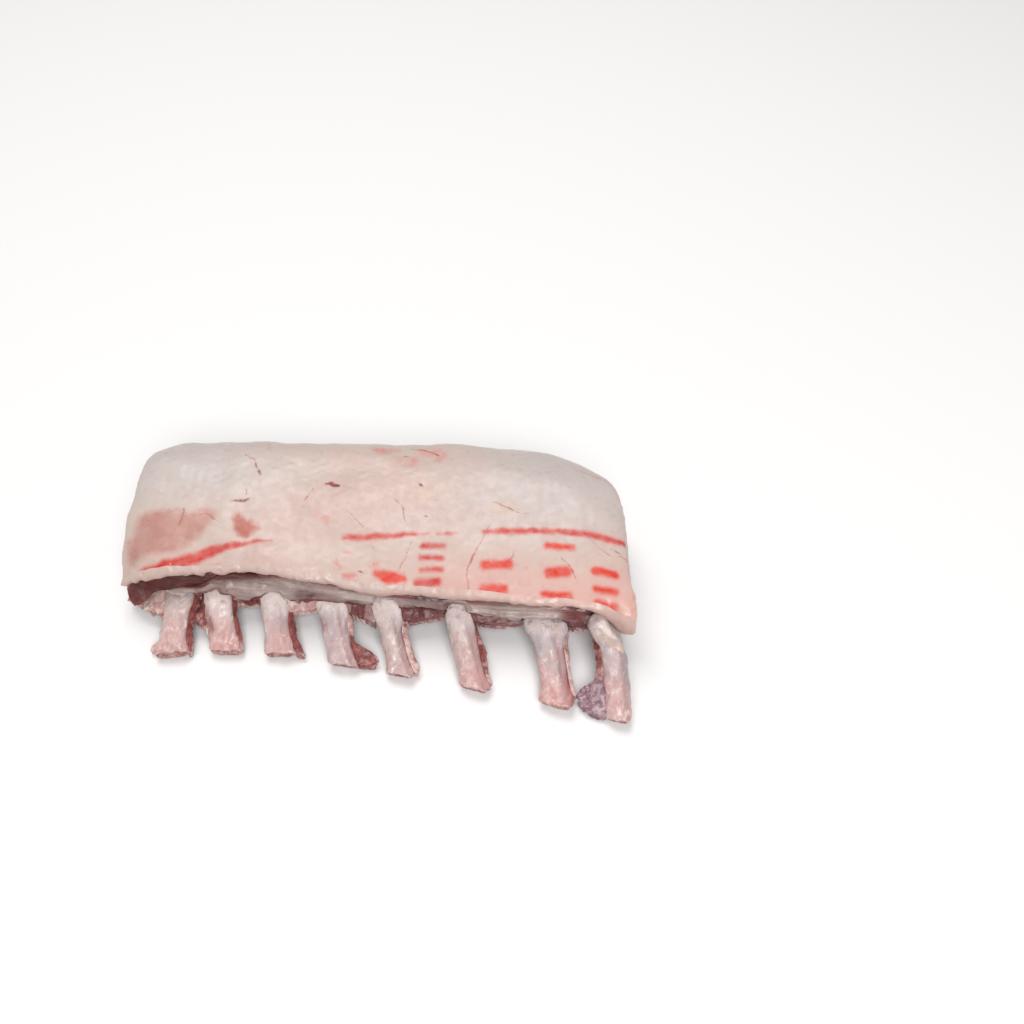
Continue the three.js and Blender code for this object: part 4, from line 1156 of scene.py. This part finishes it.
# %% Words for building a finish
class Field:
    """A number or colour that differs over the skin. Fields add and multiply as numbers do."""

    def __init__(self, finish, socket):
        self.finish, self.socket = finish, socket

    def __add__(self, other):
        return self.finish.node("ShaderNodeMath", {0: self, 1: other}, operation="ADD")

    def __mul__(self, other):
        return self.finish.node("ShaderNodeMath", {0: self, 1: other}, operation="MULTIPLY")

    def ramp(self, low, high):
        """0 at low and 1 at high with a soft start and stop; low may lie above high."""
        ends = {1: low, 2: high, 3: 0.0, 4: 1.0} if low < high else {1: high, 2: low, 3: 1.0, 4: 0.0}
        return self.finish.node("ShaderNodeMapRange", {0: self, **ends}, interpolation_type="SMOOTHSTEP")


class Finish:
    """One node material; sizes and depths are in mm. Scatter is the share of light that enters the
    surface and how deep it goes, and spread is that depth's factor for red, green and blue. The film
    of water has a share and a roughness."""

    def __init__(self, name, colour, scatter, spread, shine, film):
        self.material = bpy.data.materials.new(name)
        self.material.use_nodes = True
        self.tree = self.material.node_tree
        self.shader = self.tree.nodes["Principled BSDF"]
        for socket, value in {
            "Subsurface Weight": scatter[0], "Subsurface Scale": scatter[1] / 1000,
            "Subsurface Radius": spread, "Specular IOR Level": shine,
            "Coat Weight": film[0], "Coat Roughness": film[1],
        }.items():
            self.shader.inputs[socket].default_value = value
        self.place = self.node("ShaderNodeTexCoord", {}, out="Object")
        self.colour = colour
        self.relief = {}

    def node(self, kind, inputs, out=0, **settings):
        """A new node with its inputs linked or set, as the field that it puts out."""
        made = self.tree.nodes.new(kind)
        for key, value in settings.items():
            setattr(made, key, value)
        for key, value in inputs.items():
            if isinstance(value, Field):
                self.tree.links.new(value.socket, made.inputs[key])
            else:
                made.inputs[key].default_value = value
        return Field(self, made.outputs[out])

    def noise(self, size, detail=3, stretch=(1, 1, 1), shift=0.0, bend=0.0):
        """Noise with one swelling per size mm, longer along an axis by stretch."""
        moved = {"Vector": self.place, "Location": (shift,) * 3, "Scale": tuple(1 / s for s in stretch)}
        turned = self.node("ShaderNodeMapping", moved)
        wave = {"Scale": 1000 / size, "Detail": detail, "Roughness": 0.6, "Distortion": bend}
        return self.node("ShaderNodeTexNoise", {"Vector": turned, **wave})

    def read(self, name):
        """The numbers that a skin's mark of this name holds."""
        return self.node("ShaderNodeAttribute", {}, out=2, attribute_name=name)

    def at(self, axis):
        """The place along x, y or z in mm."""
        return self.node("ShaderNodeSeparateXYZ", {0: self.place}, out="XYZ".index(axis)) * 1000.0

    def between(self, below, above, share):
        """The colour above laid over the colour below, with the given share."""
        a, b = ((*c, 1) if isinstance(c, tuple) else c for c in (below, above))
        return self.node("ShaderNodeMix", {0: share, 6: a, 7: b}, out=2, data_type="RGBA")

    def lay(self, tint, *factors):
        """Lays a tint over the colour so far. Its share is the product of the factors: each is a field,
        a mark's name, a field with the low and high end of its ramp, or, after the first, a number."""
        share = None
        for factor in factors:
            if isinstance(factor, str):
                factor = self.read(factor)
            elif isinstance(factor, tuple):
                factor = factor[0].ramp(*factor[1:])
            share = factor if share is None else share * factor
        self.colour = self.between(self.colour, tint, share)

    def bump(self, *reliefs):
        """Adds relief from rows of a height field, its depth in mm where the height goes from 0 to 1,
        and its strength."""
        for height, depth, strength in reliefs:
            inputs = {"Height": height, "Distance": depth / 1000, "Strength": strength, **self.relief}
            self.relief = {"Normal": self.node("ShaderNodeBump", inputs)}

    def dress(self, roughness, *skins):
        """Joins the colour, the roughness and the relief to the shader, and puts it on the skins."""
        for socket, field in {"Base Color": self.colour, "Roughness": roughness, **self.relief}.items():
            self.tree.links.new(field.socket, self.shader.inputs[socket])
        for skin in skins:
            skin.piece.data.materials.append(self.material)
        print(self.material.name, "has", len(self.tree.nodes), "nodes, on", len(skins), "pieces")


print("finish words ready:", [word for word in vars(Finish) if not word.startswith("_")])

# %% [markdown]
# ## Fat
# Lamb fat is firm and nearly white, with a bluish cast where it is thin skin over meat and a creamy or
# buttery one where it is thick. The stamp's ink lies in its surface and rubs off in grains, except
# where it is fresh. Where the fat is thin, the meat under it shows as a tan patch.

# %% Fat finish
CREAM, ROSY = (0.55, 0.45, 0.4), (0.55, 0.4, 0.362)
BLUISH, BUTTER = (0.5, 0.455, 0.44), (0.65, 0.345, 0.3)
TAN_DARK, TAN_PALE = (0.44, 0.215, 0.175), (0.5, 0.275, 0.235)
INK, INK_DENSE, INK_FRESH = (0.55, 0.036, 0.024), (0.5, 0.02, 0.015), (0.62, 0.04, 0.018)
fat = Finish("fresh_fat", CREAM, (0.35, 2.2), (1, 0.45, 0.3), shine=0.4, film=(0.1, 0.32))
grain, fleck, cloud = fat.noise(1.3, 2), fat.noise(4, 4, shift=3), fat.noise(15, 4, shift=7)
broad = fat.noise(48, 3, (1.6, 1, 1), shift=11)
x, y = fat.at("X"), fat.at("Y")


def worn(distance, noise, spread, low, high):
    """A share that falls from 1 inside a mark to 0 outside it, with the edge moved by the noise."""
    return (fat.read(distance) + (noise + -0.5) * spread).ramp(high, low)


fat.lay(ROSY, (broad, 0.42, 0.62), 0.75)
fat.lay(BLUISH, x.ramp(-30.0, -90.0) + x.ramp(10.0, 70.0), (y, -5.0, 25.0), 0.75)
fat.lay(BUTTER, x.ramp(-10.0, 60.0) + 0.25, (y, 5.0, -25.0), 0.6)
fat.lay((0.6, 0.52, 0.49), (cloud, 0.54, 0.72), 0.35)
fat.lay((0.52, 0.33, 0.29), (fleck, 0.6, 0.72), 0.18)
fat.lay((0.56, 0.44, 0.4), (fat.read("cut"), 0.3, 0.9), 0.6)
# painted shade: a darker tan on the front face of the lip, where the fat turns under
fat.lay((0.44, 0.265, 0.22), "lip", 0.62)
tan = fat.between(TAN_DARK, TAN_PALE, cloud.ramp(0.35, 0.65))
fat.lay(tan, worn("thin_fat", cloud, 9.0, -4.2, 1.6), 0.92)
fat.lay((0.41, 0.1, 0.07), worn("bruise", fleck, 3.5, -1.0, 2.6), 0.92)
fat.lay((0.56, 0.41, 0.31), worn("beige", cloud, 7.0, -3.0, 2.5), 0.42)
fat.lay((0.6, 0.26, 0.225), worn("pink", cloud, 9.0, -2.5, 2.0), fleck.ramp(0.36, 0.6) * 0.5 + 0.22)
fat.lay((0.38, 0.11, 0.095), worn("vessel", fleck, 1.4, -0.2, 0.34), (cloud, 0.26, 0.4), 0.8)
fat.lay((0.3, 0.04, 0.045), worn("crack", fleck, 1.2, -0.4, 0.3))
fat.lay((0.6, 0.12, 0.11), worn("smear", fleck, 3.0, -1.2, 0.9), (fleck, 0.35, 0.55), 0.6)
fat.lay((0.6, 0.19, 0.17), worn("ink", cloud, 4.0, -1.5, 2.0), 0.3)
worked_in = (grain * 0.2 + fat.noise(6, 3, shift=21) * 0.9).ramp(0.42, 0.66)
fresh = fat.read("fresh_ink").ramp(2.0, 0.5)
ink = fat.between(fat.between(INK, INK_DENSE, cloud.ramp(0.42, 0.62)), INK_FRESH, fresh)
fat.lay(ink, worn("ink", fleck, 2.4, -1.5, 1.0), worked_in * 0.24 + 0.72 + fresh * 0.1)
cracked = worn("crack", fleck, 1.2, -0.5, 0.6)
fat.bump((cloud, 0.35, 0.2), (fleck, 0.16, 0.18), (grain, 0.08, 0.35), (cracked, -1.0, 0.8))
fat.dress(fleck.ramp(1.1, -0.3), fat_cap)

# %% [markdown]
# ## Dark meat
# The back muscle is deep red, crossed by paler fibre bundles and a few threads of fat. The wedge in
# front has dried to a satin, greyer red and still shows its fibres running along it. A thin silver
# skin lies over its upper part.

# %% Dark meat finish
DEEP_RED = (0.2, 0.038, 0.034)
meat = Finish("dark_meat", DEEP_RED, (0.25, 1.5), (1, 0.25, 0.2), shine=0.28, film=(0.13, 0.22))
fibre, bundle = meat.noise(1.1, 3, (5, 1, 1)), meat.noise(3.6, 4, (3, 1, 1), shift=5, bend=0.6)
patch = meat.noise(17, 3, (2, 1, 1), shift=9)
satin = meat.between((0.05, 0.011, 0.011), (0.1, 0.03, 0.029), bundle.ramp(0.4, 0.66))
meat.lay((0.31, 0.075, 0.062), (bundle, 0.38, 0.66))
meat.lay((0.42, 0.16, 0.13), (fibre, 0.56, 0.74), 0.4)
meat.lay((0.6, 0.38, 0.33), (bundle, 0.7, 0.76), 0.8)
meat.lay(satin, "film", (patch, 0.2, 0.5), 0.92)
meat.lay((0.52, 0.37, 0.34), "sinew", (bundle, 0.42, 0.56))
meat.bump((bundle, 0.5, 0.4), (fibre, 0.15, 0.5))
meat.dress(bundle.ramp(1.3, -0.2), eye, cap_muscle)

BACK_EDGE_Y = 42
eye.mark(sinew=1 - ease(eye.on_end + (eye.points[:, 1] > BACK_EDGE_Y), 0, 1) * 0.9)
x, _, z = cap_muscle.points.T
low_corner = (1 - ease(x, -112, -92)) * (1 - ease(z, 14, 22))
inner = 1 - cap_muscle.on_end
cap_muscle.mark(
    film=1 - 0.5 * cap_muscle.on_end - 0.35 * low_corner * inner,
    sinew=0.15 * ease(z, 24, 29) * inner,
)

# %% [markdown]
# ## Wet membrane
# The cover over the ribs is grey-white fat under silver skin. It is lavender where it is thin and white
# where fat is thick. The bottoms of its folds are darkened as painted shade. It is dark red where blood
# and meat come through, and the same dark red is painted shade in the crease under the fat's lip and
# towards the shoulder end. Towards the loin end a pale cream is painted light.

# %% Membrane finish
GREY_FAT = (0.35, 0.27, 0.25)
membrane = Finish("wet_membrane", GREY_FAT, (0.35, 1.6), (1, 0.5, 0.4), shine=0.35, film=(0.25, 0.2))
fold, shred = membrane.noise(4.5, 4, (5, 1, 1), bend=0.6), membrane.noise(2, 3, (2, 1, 1), shift=4)
patch = membrane.noise(14, 3, (1.8, 1, 1), shift=8)
# dark red for blood, also laid as painted shade in the crease under the fat's lip and towards the shoulder
# end
blood_shade_tint = membrane.between((0.11, 0.038, 0.036), (0.2, 0.055, 0.052), patch.ramp(0.4, 0.6))
membrane.lay((0.5, 0.415, 0.39), (patch, 0.36, 0.6))
membrane.lay((0.62, 0.54, 0.51), (fold, 0.5, 0.66), 0.75)
# painted shade: dark brown-red at the bottoms of the folds, where the bump is lowest
membrane.lay((0.19, 0.1, 0.095), (fold, 0.44, 0.32), 0.8)
membrane.lay((0.6, 0.5, 0.46), (shred, 0.62, 0.74), 0.5)
# blood where the mark says so, and painted shade where the same mark covers the crease under the fat's lip
membrane.lay(blood_shade_tint, "bloody", (fold, 0.28, 0.48))
# pale cream on the cut ends and the back, and painted light on the cover towards the loin end
membrane.lay((0.6, 0.48, 0.43), "creamy", 0.8)
membrane.bump((fold, 0.9, 0.5), (shred, 0.3, 0.5))
membrane.dress(shred.ramp(1.0, -0.4), cover)

# the row at x -68 is painted shade towards the shoulder end, not a stain
STAINS_AND_SHADE = (  # x, half width, how far round the section, strength
    (-31.5, 5, 9.5, 1.0), (-11, 4, 8.9, 0.8), (90, 7, 12, 1.0), (22, 4, 8.9, 0.5), (-74, 4, 8.9, 0.6),
    (20, 14, 12, 0.5), (-68, 15, 12, 0.42), (66, 20, 12, 0.12), (-21, 7, 9.6, 0.6), (35, 7, 9.5, 0.6),
)
x, y, _ = cover.points.T
round_u = cover.from_ring(cover.u, COVER_TURN)
stains_and_shade = sum(
    strength * hill(x, middle, wide, 4) * (1 - ease(round_u, top - 0.4, top + 0.4))
    for middle, wide, top, strength in STAINS_AND_SHADE
)
# the dark red mark: the crease under the fat's lip as painted shade, the underside that lies on the ribs,
# and the rows above
cover.mark(
    bloody=cover.from_ring(ease(cover.u, 9.6, 10.3) + 1 - ease(cover.u, 7.5, 8.4)) + stains_and_shade,
    # cream on the ends and the back; the hill around x 64 is painted light
    creamy=np.maximum(cover.on_end, 1 - ease(-y, 12, 20)) + 0.45 * hill(x, 64, 20, 4),
)
print("stains on the cover:", len(STAINS_AND_SHADE))

# %% [markdown]
# ## Bared bone
# A scraped rib isn't white. It keeps its thin skin, so it is cream to lavender on top, mottled pink
# towards the end, red along the sides where meat was, and nearly black-red in the sawn middle.

# %% Bone finish
BONE_SKIN = (0.46, 0.36, 0.345)
bone = Finish("bared_rib", BONE_SKIN, (0.22, 1.4), (1, 0.45, 0.35), shine=0.5, film=(0.5, 0.14))
speck, mottle = bone.noise(1.2, 3), bone.noise(3.2, 4, (1, 1.8, 1), shift=2, bend=0.5)
patch, lavender = bone.noise(9, 3, (1, 1.6, 1), shift=6), bone.noise(6, 3, (1, 1.5, 1), shift=14)
rosy = bone.noise(4.5, 3, (1, 2, 1), shift=17, bend=0.8)
# noise for painted highlights and for darker spots
glint_and_spot_noise = bone.noise(2.2, 3, (1, 2, 1), shift=31, bend=0.6)
veins = bone.noise(4.4, 2, shift=23, bend=1.2)
tip, bared = bone.read("tip_share"), bone.read("bared")
low_side = bone.read("height") + mottle * 0.7
blotched = mottle.ramp(0.4, 0.62)
pink = bone.between((0.52, 0.255, 0.235), (0.62, 0.415, 0.395), mottle.ramp(0.38, 0.62))
meaty = bone.between((0.24, 0.085, 0.075), (0.38, 0.19, 0.175), blotched)
buried = bone.between((0.44, 0.25, 0.225), (0.56, 0.42, 0.39), blotched)
marrow = bone.between((0.2, 0.055, 0.045), (0.52, 0.31, 0.28), (speck * 0.5 + mottle * 0.5).ramp(0.4, 0.58))
bone.lay((0.58, 0.49, 0.475), (patch, 0.38, 0.6))
bone.lay((0.56, 0.425, 0.37), "cream", (patch, 0.25, 0.6))
bone.lay((0.38, 0.345, 0.375), "grey", (mottle, 0.36, 0.6))
bone.lay((0.4, 0.37, 0.4), (lavender, 0.56, 0.68), 0.6)
bone.lay((0.52, 0.3, 0.285), (rosy, 0.56, 0.7), 0.5)
bone.lay(pink, (tip + patch * 0.7, 0.55, 1.25), "blush")
bone.lay((0.45, 0.17, 0.15), (mottle, 0.62, 0.72), tip, 0.4)
# painted shade: grey on the loin side of the rib
bone.lay((0.32, 0.28, 0.305), "grey_side", (mottle, 0.25, 0.5))
bone.lay((0.4, 0.2, 0.19), "red_side", (mottle, 0.3, 0.55))
bone.lay(meaty, "meaty_side")
bone.lay((0.3, 0.085, 0.075), (low_side, 0.35, -0.35), bared, 0.85)
# painted shade: the scraped groove along the rib is laid darker
bone.lay((0.4, 0.23, 0.23), "hollow", (mottle, 0.2, 0.5))
bone.lay((0.88, 0.76, 0.735), "white_top", (mottle, 0.2, 0.45))
# painted highlight: near-white glints on the peaks of this noise
bone.lay((0.84, 0.745, 0.73), (glint_and_spot_noise, 0.56, 0.71), 0.5)
# darker spots on the low end of the same noise
bone.lay((0.36, 0.2, 0.2), (glint_and_spot_noise, 0.45, 0.28), 0.5)
bone.lay((0.42, 0.22, 0.21), (speck, 0.6, 0.72), 0.4)
bone.lay((0.17, 0.135, 0.165), "veined", (veins, 0.54, 0.66), 0.75)
bone.lay((0.36, 0.13, 0.12), "streak", 0.8)
bone.lay(buried, (bared, 0.7, 0.1), 0.8)
bone.lay(marrow, "cut")
bone.bump((mottle, 0.6, 0.5), (speck, 0.25, 0.6))
bone.dress(mottle.ramp(1.2, -0.3), *rib_skins, strap)

# %% [markdown]
# ## Meat between the ribs
# This meat is moist and purplish red, with white flecks of fat and shreds of silver skin. The cut web in
# front shows its fibres on end, and its torn rim is pale.

# %% Rib meat finish
PURPLE_RED = (0.155, 0.034, 0.032)
red = Finish("rib_meat", PURPLE_RED, (0.3, 1.4), (1, 0.3, 0.25), shine=0.32, film=(0.24, 0.16))
fibre, shred = red.noise(1.3, 3, (1, 3, 1)), red.noise(2.6, 4, shift=3, bend=1.0)
patch, frill = red.noise(8, 3, shift=6), red.noise(3.0, 4, shift=13, bend=0.8)
pale_share = red.read("pale") + red.read("end_pale") * 0.4 + (patch * 0.6 + shred * 0.3)
pale = red.between((0.54, 0.31, 0.285), (0.68, 0.52, 0.485), shred.ramp(0.4, 0.6))
# dark purple-red laid as painted shade
dusk = red.between((0.085, 0.022, 0.026), (0.17, 0.058, 0.066), patch.ramp(0.35, 0.65))
purple = red.between((0.17, 0.075, 0.105), (0.47, 0.355, 0.39), frill.ramp(0.4, 0.68))
red.lay((0.27, 0.07, 0.062), (fibre, 0.4, 0.64))
red.lay((0.36, 0.13, 0.12), (patch, 0.45, 0.65), 0.5)
red.lay(pale, (pale_share, 0.78, 1.05))
red.lay((0.56, 0.44, 0.41), (shred, 0.66, 0.72), 0.5)
red.lay((0.42, 0.22, 0.2), "lower", (patch, 0.3, 0.6))
# painted shade: the webs between the ribs are laid darker in front
red.lay(dusk, "dusk")
red.lay((0.62, 0.45, 0.41), "rim", (shred, 0.42, 0.55))
red.lay(purple, "purple", 0.92)
red.bump((shred, 0.6, 0.5), (fibre, 0.2, 0.5))
red.dress(shred.ramp(1.1, -0.3), *strips, *scraps)
